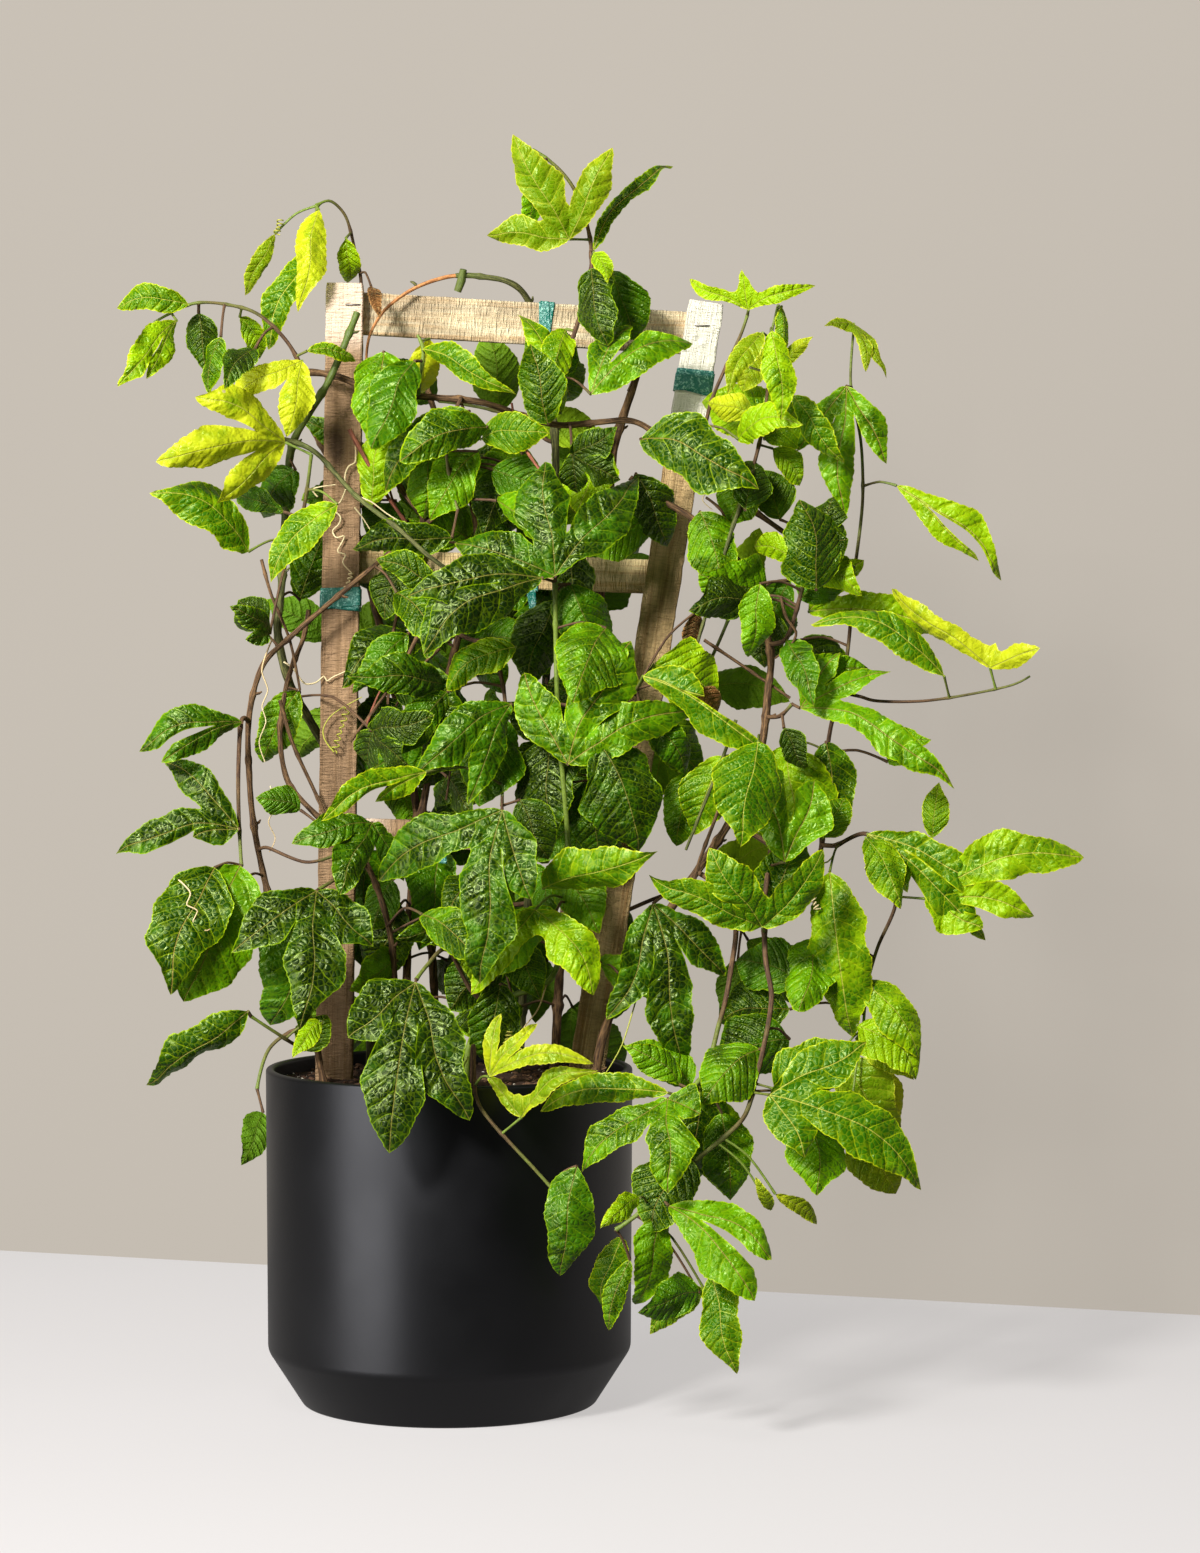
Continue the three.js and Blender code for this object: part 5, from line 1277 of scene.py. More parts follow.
def blade(leaf):
    """A blade in one skin, in mm: rows across each lobe, which join along the sinus lines. The
    margin is toothed and waved, the skin puckers up between the side veins, the halves fold back
    from the midrib, and a blade that reaches out sideways arches up before it droops."""
    pitch = min(PITCH_MOST, max(PITCH_LEAST, leaf.length / PITCHES))
    count = len(leaf.lobes)
    phase = 1.9 * leaf.number

    def first_share(length):
        return 0.33 if length > 98 else 0.38 if length >= 42 else 0.5

    joins = []                    # row of the sinus, and the slope of the line that leads to it
    for (a0, h0, l0), (a1, h1, l1) in zip(leaf.lobes, leaf.lobes[1:]):
        beta = min((a0 - a1) / 2, 1.25)
        ends = []
        for angle, half, length, w in ((a0, h0, l0, -1), (a1, h1, l1, 1)):
            t = first_share(length)
            ends.append(np.array(spun(length * t, w * lobe_half(half, t), angle)))
        reach = np.linalg.norm((ends[0] + ends[1]) / 2) * math.cos(beta)
        top = int(min(l0, l1) / BLADE_STEP) - 4
        joins.append((max(2, min(top, round(SINUS_DEPTH * reach / BLADE_STEP))), math.tan(beta)))

    points, rims = [np.zeros((1, 3))], [np.zeros(1)]
    faces, uvs = [], []
    used = 1
    shared = None
    for i, (angle, half, length) in enumerate(leaf.lobes):
        rows = max(5, int(length / BLADE_STEP))
        x = np.arange(1, rows) * BLADE_STEP
        t = x / length
        sharp = 0.22 + 0.22 * math.sin(3.7 * leaf.number)
        own = 1.12 * lobe_half(half, t) * (1.08 - 0.2 * t) * (1 - sharp * smoothstep(0.66, 0.98, t))
        if count > 1:             # a lobe is slim at its foot and widest past its middle
            own = own * LOBE_SLIM * (0.7 + 0.34 * smoothstep(0.12, 0.55, t))
        v, rim, ripple = [], [], []
        for sign, join in ((-1, joins[i] if i < count - 1 else None),
                           (1, joins[i - 1] if i else None)):
            uneven = (0.09 * np.sin(x / 9.7 + phase + 2.1 * sign)
                      + 0.06 * np.sin(x / 4.3 + 2 * phase - sign))
            tooth = TEETH[(np.arange(1, rows) + leaf.number + sign) % 7] * np.minimum(1, own / 7)
            edge = own * (1 + uneven) + tooth * min(1, pitch / 7)
            wave, hidden = np.full(len(x), 1.0), np.zeros(len(x))
            if join:
                row, slope = join
                x_s = row * BLADE_STEP
                line = x * slope
                s = np.sqrt(np.clip((x - x_s) / (0.14 * length + 2), 0, 1))
                open_edge = np.minimum(x_s * slope * (1 - s) + edge * s, 0.97 * line)
                edge = np.where(x <= x_s + 1e-6, line, open_edge)
                wave = smoothstep(x_s, x_s + 12, x)
                hidden = np.maximum(0, x_s - x)
            edge = edge[:, None]
            rib = np.minimum(RIB_HALF, 0.25 * edge)
            out = rib + (edge - rib) * COLUMNS
            rim.append(edge - out + hidden[:, None])
            ripple.append(wave[:, None] * (out / edge) ** 2 * (
                0.6 * np.sin(x[:, None] / (0.5 * pitch) + phase + sign)
                + 0.9 * np.sin(x[:, None] / (1.3 * pitch) + 2.3 * phase - sign)))
            v.append(sign * out)
        v, rim, ripple = (
            np.hstack([low[:, ::-1], np.full((len(x), 1), float(middle)), high])
            for (low, high), middle in ((v, 0), (rim, half), (ripple, 0)))
        xs = np.broadcast_to(x[:, None], v.shape)
        away = np.abs(v)
        drift = 0.3 * pitch * np.sin(xs / 11.1 + phase + 1.1 * np.sign(v))
        course = xs - VEIN_LEAN * away - VEIN_BOW * away * away / pitch + drift
        between = np.abs(np.sin(math.pi * course / pitch))
        pucker = (PUCKER * pitch * (between - 0.45) * smoothstep(0.3, 0.45 * pitch, away)
                  * (0.75 + 0.45 * ruffle(xs / 9, v / 5, phase))
                  * (0.3 + 0.7 * smoothstep(0, 4, rim)) * smoothstep(0, 8, length - xs))
        blister = (0.42 * ruffle(xs / 1.6, v / 1.5, phase)
                   + 0.6 * ruffle(xs / 3.1, v / 2.7, 2 * phase)
                   + 1.8 * ruffle(xs / 9, v / 7, 3 * phase)) * np.minimum(1, away / 4)
        lift = (pucker + blister + EDGE_WAVE * min(1, half / 14) * ripple
                - (0.08 + 0.2 * math.sin(1.3 * leaf.number)) * away
                - RIB_SINK * np.exp(-(away / 0.8) ** 2)
                - TIP_DROOP * length * smoothstep(0.78, 1.02, xs / length) ** 2)
        bend = LOBE_BEND * length * math.sin(2.9 * leaf.number + 2 * i) * (
            smoothstep(0.25, 0.6, xs / length) - smoothstep(0.68, 1, xs / length))
        placed = np.stack([*spun(xs, v + bend, angle), lift], axis=-1).reshape(-1, 3)
        ids = used + np.arange(v.size).reshape(v.shape)
        if shared is not None:
            row = joins[i - 1][0]
            ids[:row, -1] = shared[:row]
        tip_id = used + v.size
        points.append(np.vstack([placed, [*spun(length, 0, angle), -TIP_DROOP * length]]))
        rims.append(np.append(rim.ravel(), 0))
        used += v.size + 1
        shared = ids[:, 0].copy()
        uv = np.stack([xs, v], axis=-1) / pitch
        for r in range(len(x) - 1):
            for k in range(v.shape[1] - 1):
                faces.append((ids[r, k], ids[r + 1, k], ids[r + 1, k + 1], ids[r, k + 1]))
                uvs += [uv[r, k], uv[r + 1, k], uv[r + 1, k + 1], uv[r, k + 1]]
        for k in range(v.shape[1] - 1):
            faces.append((0, ids[0, k], ids[0, k + 1]))
            uvs += [(0, 0), uv[0, k], uv[0, k + 1]]
            faces.append((ids[-1, k], tip_id, ids[-1, k + 1]))
            uvs += [uv[-1, k], (length / pitch, 0), uv[-1, k + 1]]
    flat = np.concatenate(points)
    run = np.minimum(1, np.hypot(flat[:, 0], flat[:, 1]) / leaf.length)
    curl = CURL * math.sin(2.2 * leaf.number) * flat[:, 1] * (run - 0.35)
    if leaf.base[1] > BACK_FROM:
        curl *= BACK_CURL
    made = leaf.in_space(flat[:, 0], flat[:, 1], flat[:, 2] + curl)
    rise = SWEEP * leaf.length * leaf.side[2] * 4 * run * (1 - run)
    return made + rise[:, None] * leaf.side, faces, np.array(uvs), np.concatenate(rims)


def leaf_group():
    """A blade's skin: tan midrib, sunk side veins with pillows between, fine net, yellow margin
    and a few pale spots, and the pillows' middles painted a little brighter as a painted sheen. The
    map counts side veins along the lobe and across it."""
    tree, given = new_group("leaf_skin", "Shader", dict.fromkeys(
        ("Deep", "Bright", "Rib", "Rim"), "Color"))
    place = object_place(tree)
    chart = add_node(tree, "ShaderNodeUVMap", uv_map="lobe_map").outputs[0]
    lobe, rim = parted(tree, chart), own_value(tree, "rim")
    away = sums(tree, "ABSOLUTE", lobe["Y"])
    wander = sums(tree, "MULTIPLY_ADD", cloudy(tree, place, 40.0), 0.9, lobe["X"])
    bent = sums(tree, "MULTIPLY_ADD", away, -0.16, -0.55)
    vein_line = sums(tree, "PINGPONG", sums(tree, "MULTIPLY_ADD", away, bent, wander), 0.5)
    faint = ramp(tree, cloudy(tree, place, 75.0, Detail=1.0), 0.34, 0.6, 0.25, 1.0)
    vein = times(tree, ramp(tree, vein_line, 0.008, 0.05, 1.0, 0.0), faint)
    rib = ramp(tree, away, 0.018, 0.048, 1.0, 0.0)
    net = add_node(tree, "ShaderNodeTexVoronoi", {"Vector": chart, "Scale": 3.3},
                   feature="DISTANCE_TO_EDGE").outputs[0]
    pillow_dome_and_sheen = ramp(tree, net, 0.0, 0.42)
    mottle = cloudy(tree, place, 50.0, Detail=5.0, Roughness=0.65)
    toned = sums(tree, "MULTIPLY_ADD", own_value(tree, "tone"), 0.34, mottle)
    light = ramp(tree, toned, 0.45, 0.86)
    bright = times(tree, sums(tree, "POWER", light, 2.0), 0.9)
    # Painted sheen: the middles of the net's pillows are painted a little brighter
    lit = sums(tree, "MULTIPLY_ADD", ramp(tree, rim, 0.5, 9.0, 1.0, 0.0), 0.16,
               sums(tree, "MULTIPLY_ADD", pillow_dome_and_sheen, 0.08, bright))
    colour = blend(tree, lit, given["Deep"], given["Bright"])
    for line, share, ink in ((ramp(tree, net, 0.02, 0.12, 1.0, 0.0), 0.2, "Rim"),
                             (vein, 0.5, "Rim"), (rib, 0.8, "Rib"),
                             (ramp(tree, rim, 0.2, 1.1, 1.0, 0.0), 0.8, "Rim")):
        colour = blend(tree, times(tree, line, share), colour, given[ink])
    spots = add_node(tree, "ShaderNodeTexVoronoi", {"Vector": place, "Scale": 34.0}).outputs
    chance = add_node(tree, "ShaderNodeSeparateColor", {0: spots["Color"]}).outputs[0]
    fleck = times(tree, ramp(tree, chance, 0.84, 0.88),
                  ramp(tree, spots["Distance"], 0.03, 0.06, 1.0, 0.0))
    crinkle = cloudy(tree, place, 260.0, Detail=3.0, Roughness=0.6, Distortion=0.8)
    quilt = sums(tree, "MULTIPLY_ADD", pillow_dome_and_sheen, 0.34,
                 times(tree, ramp(tree, vein_line, 0.0, 0.3), 0.6))
    quilt = sums(tree, "MULTIPLY_ADD", crinkle, 0.18, quilt)
    add_node(tree, "NodeGroupOutput", {
        "Colour": blend(tree, fleck, colour, (0.72, 0.6, 0.3, 1.0)),
        "Roughness": sums(tree, "MULTIPLY_ADD", mottle, 0.36, 0.17),
        "Height": sums(tree, "MULTIPLY_ADD", rib, -0.4, quilt)})
    return tree


leaf_skin = leaf_group()


def leaf_material(name, deep, bright, rib, rim, under, glow, clear_share, relief):
    """Glossy above, paler and matt below, and clear enough for light to glow through."""
    material, tree, shader, skin, bump = skinned(name, leaf_skin, relief, {
        "Deep": deep, "Bright": bright, "Rib": rib, "Rim": rim},
        Specular_IOR_Level=0.55, Specular_Tint=(0.82, 1.0, 0.42, 1.0))
    back = add_node(tree, "ShaderNodeNewGeometry").outputs["Backfacing"]
    colour = blend(tree, times(tree, back, 0.6), skin["Colour"], under)
    glowing = add_node(tree, "ShaderNodeBsdfTranslucent", {
        "Color": blend(tree, 0.5, skin["Colour"], glow), "Normal": bump})
    both = add_node(tree, "ShaderNodeMixShader", {
        0: clear_share, 1: shader.outputs[0], 2: glowing.outputs[0]})
    tree.links.new(colour, shader.inputs["Base Color"])
    tree.links.new(sums(tree, "MULTIPLY_ADD", back, 0.3, skin["Roughness"]),
                   shader.inputs["Roughness"])
    tree.links.new(both.outputs[0], tree.nodes["Material Output"].inputs["Surface"])
    return material


LEAF_LOOKS = [                    # age: upper side, ribs and margin, under side, glow, relief
  ['dark', [3, 22, 0], [62, 114, 0], [132, 126, 54], [138, 170, 4], [96, 136, 14], [76, 128, 0],
    0.12, 0.0012],
  ['mid', [9, 50, 0], [102, 160, 0], [158, 140, 64], [174, 202, 10], [118, 160, 18],
    [116, 172, 0], 0.18, 0.0012],
  ['light', [42, 106, 0], [160, 206, 4], [206, 204, 80], [216, 228, 24], [154, 188, 26],
    [162, 208, 0], 0.28, 0.0011],
  ['young', [106, 154, 0], [228, 238, 34], [206, 204, 80], [240, 240, 60], [198, 220, 46],
    [216, 232, 0], 0.42, 0.0009],
  ['dry', [62, 34, 20], [168, 112, 62], [120, 84, 48], [190, 140, 84], [150, 104, 64],
    [150, 90, 30], 0.1, 0.0028],
]
leaf_materials = {age: leaf_material("leaf_" + age, *[paint(*ink) for ink in inks], share, relief)
                  for age, *inks, share, relief in LEAF_LOOKS}
AGES = list(leaf_materials)
stem_bark = bark("stem_bark", paint(66, 44, 32), paint(122, 92, 60), paint(118, 138, 50),
                 0.75, 1.15, 0.0003)

# Side leaves: further leaves on the canes and stems, which fill the plant's inside. Each row is
# the line they grow on and its leaves. They settle in this order.
SIDE_LEAVES = [
  ['stem_crown', ['mid', 34, 0, [560, 340, -20], [572, 404, -24]],
    ['light', 30, 10, [566, 330, -16], [545, 398, -30]]],
  ['stem_top_left', ['mid', 40, 0, [488, 428, -44], [402, 462, -54]],
    ['mid', 42, 5, [478, 452, -40], [430, 520, -50]],
    ['dark', 40, 0, [512, 470, -24], [536, 520, -30]]],
  ['cane_right', ['light', 50, 0, [600, 448, -10], [578, 512, -20]]],
  ['stem_centre', ['dark', 56, 5, [542, 578, -100], [424, 654, -112], [410, 598]],
    ['dark', 50, 0, [570, 584, -60], [590, 668, -56]],
    ['dark', 40, 0, [566, 546, -44], [588, 636, -50]]],
  ['cane_right_low', ['mid', 44, 0, [650, 520, -30], [596, 556, -20]],
    ['dark', 40, 0, [636, 474, -44], [668, 548, -50]]],
  ['cane_left', ['dark', 40, 0, [296, 470, -40], [262, 520, -46]]],
  ['cane_twin_left', ['dark', 40, 0, [262, 628, -46], [238, 600, -52]]],
  ['cane_left', ['dark', 40, 0, [300, 600, 30], [330, 520, 34]]],
  ['cane_twin_right', ['mid', 36, 0, [298, 690, 10], [262, 764, 10]]],
  ['stem_inner_left', ['dark', 56, 0, [508, 712, -50], [420, 776, -60]],
    ['dark', 60, 0, [500, 716, -56], [478, 806, -66]]],
  ['cane_back', ['dark', 44, 0, [400, 700, 20], [352, 760, 24]],
    ['dark', 40, 0, [500, 600, -10], [450, 640, -20]],
    ['dark', 36, 0, [410, 560, -20], [384, 620, -26]],
    ['mid', 40, 0, [470, 540, -10], [410, 520, -16]]],
  ['stem_inner_left', ['dark', 40, 0, [520, 800, -90], [548, 860, -96]]],
  ['stem_centre', ['mid', 44, 0, [556, 912, -96], [482, 972, -104]],
    ['mid', 36, 0, [510, 940, -60], [540, 1000, -60]]],
  ['cane_back', ['dark', 34, 0, [392, 880, -20], [372, 930, -20]]],
  ['stem_centre', ['dark', 70, 0, [600, 744, -96], [640, 852, -104]],
    ['dark', 50, 0, [590, 780, -60], [600, 860, -60]],
    ['mid', 64, 0, [606, 628, -64], [574, 700, -70]]],
  ['stem_hang', ['mid', 58, 0, [770, 925, -90], [800, 840, -88]]],
  ['stem_right_low', ['dark', 50, 0, [800, 985, -90], [736, 960, -96]],
    ['mid', 50, 0, [790, 1010, -80], [718, 1024, -80]],
    ['mid', 46, 0, [820, 940, -70], [800, 1010, -70]]],
  ['stem_hang', ['light', 46, 0, [775, 1090, -140], [858, 1046, -144]]],
  ['stem_right_low', ['light', 44, 5, [858, 1026, -80], [918, 1080, -90]],
    ['young', 54, 0, [838, 1062, -70], [898, 1140, -76]]],
  ['stem_hang', ['mid', 54, 0, [812, 1110, -120], [818, 1196, -128]]],
  ['stem_right_low', ['young', 44, 0, [850, 1130, -90], [898, 1196, -100]]],
  ['stem_hang_left', ['mid', 40, -10, [692, 1088, -120], [628, 1044, -124]]],
  ['stem_hang', ['young', 12, 0, [772, 1212, -150], [756, 1180, -150]]],
  ['stem_top_right_light', ['young', 34, 0, [764, 350, -50], [742, 392, -52]],
    ['light', 50, 0, [770, 428, -60], [700, 402, -56]],
    ['light', 44, 0, [764, 440, -40], [830, 424, -40]],
    ['mid', 44, 0, [760, 470, -50], [726, 530, -50]]],
  ['stem_middle_right', ['mid', 36, 0, [780, 520, -40], [760, 470, -30]],
    ['dark', 46, 0, [800, 600, -60], [856, 566, -60]],
    ['mid', 60, 0, [816, 590, -70], [800, 500, -76]],
    ['mid', 50, 0, [764, 596, -60], [700, 576, -66]]],
  ['cane_right_low', ['dark', 40, 0, [770, 610, -56], [764, 668, -60]]],
  ['stem_right', ['mid', 44, 0, [800, 700, -50], [868, 668, -56]]],
  ['cane_right_low', ['light', 60, 0, [758, 742, -100], [742, 846, -108]]],
  ['stem_right', ['light', 66, 0, [786, 744, -90], [800, 848, -96]],
    ['mid', 46, 0, [826, 742, -50], [834, 838, -56]]],
  ['cane_right_low', ['light', 44, 0, [724, 756, -70], [694, 836, -74]],
    ['mid', 36, 0, [692, 772, -50], [676, 846, -52]]],
  ['stem_right_low', ['light', 34, 5, [866, 838, -96], [902, 908, -104]]],
  ['stem_front_middle', ['light', 60, 0, [654, 664, -80], [716, 700, -84]],
    ['mid', 40, 0, [650, 716, -60], [700, 776, -64]]],
  ['cane_twin_left', ['dark', 36, 0, [244, 880, -60], [236, 948, -64]]],
  ['stem_left_edge', ['mid', 32, 15, [304, 1052, -30], [326, 1016, -40]]],
  ['cane_across', ['light', 36, 0, [372, 505, -10], [392, 425, -16]],
    ['mid', 62, 0, [430, 522, -30], [441, 446, -34]],
    ['mid', 54, 0, [385, 352, -30], [376, 450, -44]]],
  ['stem_crown', ['mid', 42, 0, [548, 425, -30], [530, 345, -34]],
    ['dark', 44, 0, [612, 272, -30], [634, 342, -40]]],
  ['stem_top_left', ['dark', 46, 0, [515, 468, -10], [484, 536, -14]]],
  ['cane_right_low', ['mid', 46, 0, [700, 512, -50], [722, 584, -50]],
    ['dark', 42, 0, [790, 580, -40], [768, 650, -40]]],
  ['stem_right', ['dark', 36, 0, [800, 640, -30], [842, 690, -34]]],
  ['cane_right_low', ['dark', 32, 0, [786, 640, -30], [812, 704, -30]]],
  ['stem_centre', ['dark', 46, 0, [556, 600, -50], [528, 690, -56]]],
  ['cane_back', ['dark', 52, 0, [430, 742, -10], [354, 780, -20]]],
  ['stem_centre', ['dark', 62, 0, [548, 735, -50], [556, 832, -56]]],
  ['cane_back', ['dark', 52, 0, [440, 850, 0], [420, 950, 0]],
    ['dark', 46, 0, [400, 905, -10], [380, 990, -10]]],
  ['cane_left', ['dark', 46, 0, [372, 850, 0], [358, 936, 0]]],
  ['stem_centre', ['dark', 46, 0, [500, 960, -40], [450, 1012, -44]],
    ['mid', 46, 0, [560, 868, -60], [598, 934, -66]],
    ['dark', 46, 0, [500, 985, -30], [486, 1064, -30]]],
  ['stem_hang', ['dark', 60, 0, [790, 1040, -110], [716, 1068, -112]],
    ['mid', 52, 0, [760, 1050, -130], [704, 1104, -134]]],
  ['stem_hang_left', ['mid', 62, 0, [700, 1085, -120], [690, 1190, -126]],
    ['light', 52, 0, [706, 1090, -110], [724, 1200, -118]]],
  ['stem_hang', ['mid', 56, 0, [690, 1160, -150], [650, 1234, -156]],
    ['dark', 34, 0, [700, 1296, -140], [640, 1316, -144]],
    ['light', 30, 0, [622, 1240, -140], [606, 1318, -142]]],
  ['stem_left_lower', ['dark', 66, 0, [312, 900, -70], [270, 1028, -80]]],
  ['stem_left_middle', ['mid', 64, 0, [214, 868, -86], [170, 994, -104]]],
  ['stem_right', ['light', 40, 0, [808, 612, -60], [944, 634, -74], [862, 574]]],
  ['stem_front_middle', ['dry', 18, 0, [696, 612, -70], [688, 652, -74]],
    ['dry', 22, 0, [700, 688, -100], [718, 712, -104]]],
  ['stem_hook', ['dry', 12, 0, [372, 288, -14], [380, 318, -16]]],
]
SIDE_SPLIT = 20                   # mm right of the pot's middle
STALK_FRESH = {"dark": 0.25, "mid": 0.4, "light": 0.65, "young": 1.1, "dry": 0.0}
placed = {name: [] for name in lines}
number = 0
for name, *_, leaves in STEMS:
    for row in leaves:
        placed[name].append(settle(name, lines[name], row, number))
        number += 1
extra = {name: [] for name in lines}
for name, *rows in SIDE_LEAVES:
    for row in rows:
        extra[name].append(settle(name, lines[name], row, number))
        number += 1

# Shade leaves grow on the canes all through the middle. They stand on a loose lattice, each a
# golden angle on from the last and hanging, and one that finds no room is left out.
GOLDEN_ANGLE = 2.39996
SHADE_TOP, SHADE_FOOT, SHADE_LEFT, SHADE_RIGHT = 455, 1030, 372, 610
SHADE_DROP, SHADE_STEP = 46, 50
SHADE_DEPTH, SHADE_BACK, SHADE_FREE = 45, 165, 3.0   # mm
SHADE_HANG, SHADE_SPREAD, SHADE_LOBE = 70, 0.95, 0.8
for row_number, down in enumerate(range(SHADE_TOP, SHADE_FOOT, SHADE_DROP)):
    for across in range(SHADE_LEFT + SHADE_STEP // 2 * (row_number % 2), SHADE_RIGHT,
                        SHADE_STEP):
        angle = number * GOLDEN_ANGLE
        depth = SHADE_DEPTH * math.sin(1.7 * number) + 12
        foot = [across, down, depth]
        hang = SHADE_HANG + 20 * math.sin(5.3 * number)
        drop = 0.35 + 0.5 * abs(math.sin(angle))
        tip = [across + hang * math.cos(angle), down + hang * drop, depth - 10]
        lobes = []
        if number % 2:                    # every other one has its three lobes
            for turn in (-SHADE_SPREAD, SHADE_SPREAD):
                way = math.atan2(drop, math.cos(angle)) + turn
                lobes.append([across + SHADE_LOBE * hang * math.cos(way),
                              down + SHADE_LOBE * hang * math.sin(way)])
        name = min((row[0] for row in CANES), key=lambda cane: np.linalg.norm(
            nearest_on(lines[cane], spot(*foot)) - spot(*foot)))
        kind = "mid" if number % 4 == 0 else "dark"
        one = settle(name, lines[name], [kind, 36 + 5 * (number % 4), 40 * math.sin(4.1 * number),
                                         foot, tip, *lobes], number, SHADE_FREE)
        if one and one[0].check_points()[:, 1].max() < SHADE_BACK:
            extra[name].append(one)
        number += 1


def stalk_run(leaf, stalk):
    """A leafstalk, swollen at both ends."""
    line, share, places = drawn_out(stalk, STALK_STEP)
    swell = 1 + 0.35 * np.exp(-(places / 3) ** 2) + 0.25 * np.exp(-((places[-1] - places) / 4) ** 2)
    return (line, (0.95 if leaf.age in ("dark", "mid") else 0.85) * swell,
            STALK_FRESH[leaf.age] + 0.15 * share)


def foliage(name, leaves, *stands_for):
    """One piece of all the blades of some leaves."""
    points, faces, uvs, rims, tones, kinds = [], [], [], [], [], []
    used = 0
    for leaf, _ in leaves:
        made, made_faces, made_uvs, made_rims = blade(leaf)
        if leaf.base[1] > BACK_FROM:                 # at the back the upper side looks outward too
            made_faces = [face[::-1] for face in made_faces]
            starts = np.cumsum([0] + [len(face) for face in made_faces[:-1]])
            made_uvs = np.concatenate([made_uvs[start:start + len(face)][::-1]
                                       for start, face in zip(starts, made_faces)])
        faces += [tuple(int(k) + used for k in face) for face in made_faces]
        points.append(made)
        uvs.append(made_uvs)
        rims.append(made_rims)
        tones.append(np.full(len(made), 0.5 + 0.5 * math.sin(2.9 * leaf.number)))
        kinds += [AGES.index(leaf.age)] * len(made_faces)
        used += len(made)
    mesh = new_mesh(name, np.concatenate(points) / 1000, faces, leaf_materials.values(),
                    rim=np.concatenate(rims), tone=np.concatenate(tones))
    mesh.uv_layers.new(name="lobe_map").data.foreach_set(
        "uv", np.concatenate(uvs).astype(np.float32).ravel())
    mesh.polygons.foreach_set("material_index", kinds)
    piece = new_object(name, mesh)
    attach(piece, "root")
    if stands_for:
        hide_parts(*stands_for)


for name, _, foot_r, tip_r, _, leaves in STEMS:
    line, share, places = drawn_out(lines[name], STEM_STEP)
    radii = foot_r + (tip_r - foot_r) * share
    green_stem = name in ("stem_centre", "stem_top_light")
    fresh = 0.9 + 0.3 * share if green_stem else 0.1 + 0.75 * share
    joints = [places[np.argmin(np.linalg.norm(line - stalk[0], axis=1))]
              for _, stalk in placed[name]]
    runs = [(line, jointed(places, radii, joints, SOFT_SWELL), fresh)]
    runs += [stalk_run(*one) for one in placed[name]]
    stem = sticks(name + "_stalks", runs, STEM_SIDES, stem_bark)
    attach(stem, "root")
    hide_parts(name)
    if leaves:
        foliage(name + "_leaves", placed[name], name)

for side, on_right in (("left", False), ("right", True)):
    chosen = [one for made in extra.values() for one in made
              if (one[0].base[0] >= SIDE_SPLIT) == on_right]
    foliage("side_leaves_" + side, chosen)
    stalks = sticks("side_leaf_stalks_" + side, [stalk_run(*one) for one in chosen], THIN_SIDES,
                    stem_bark)
    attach(stalks, "root")

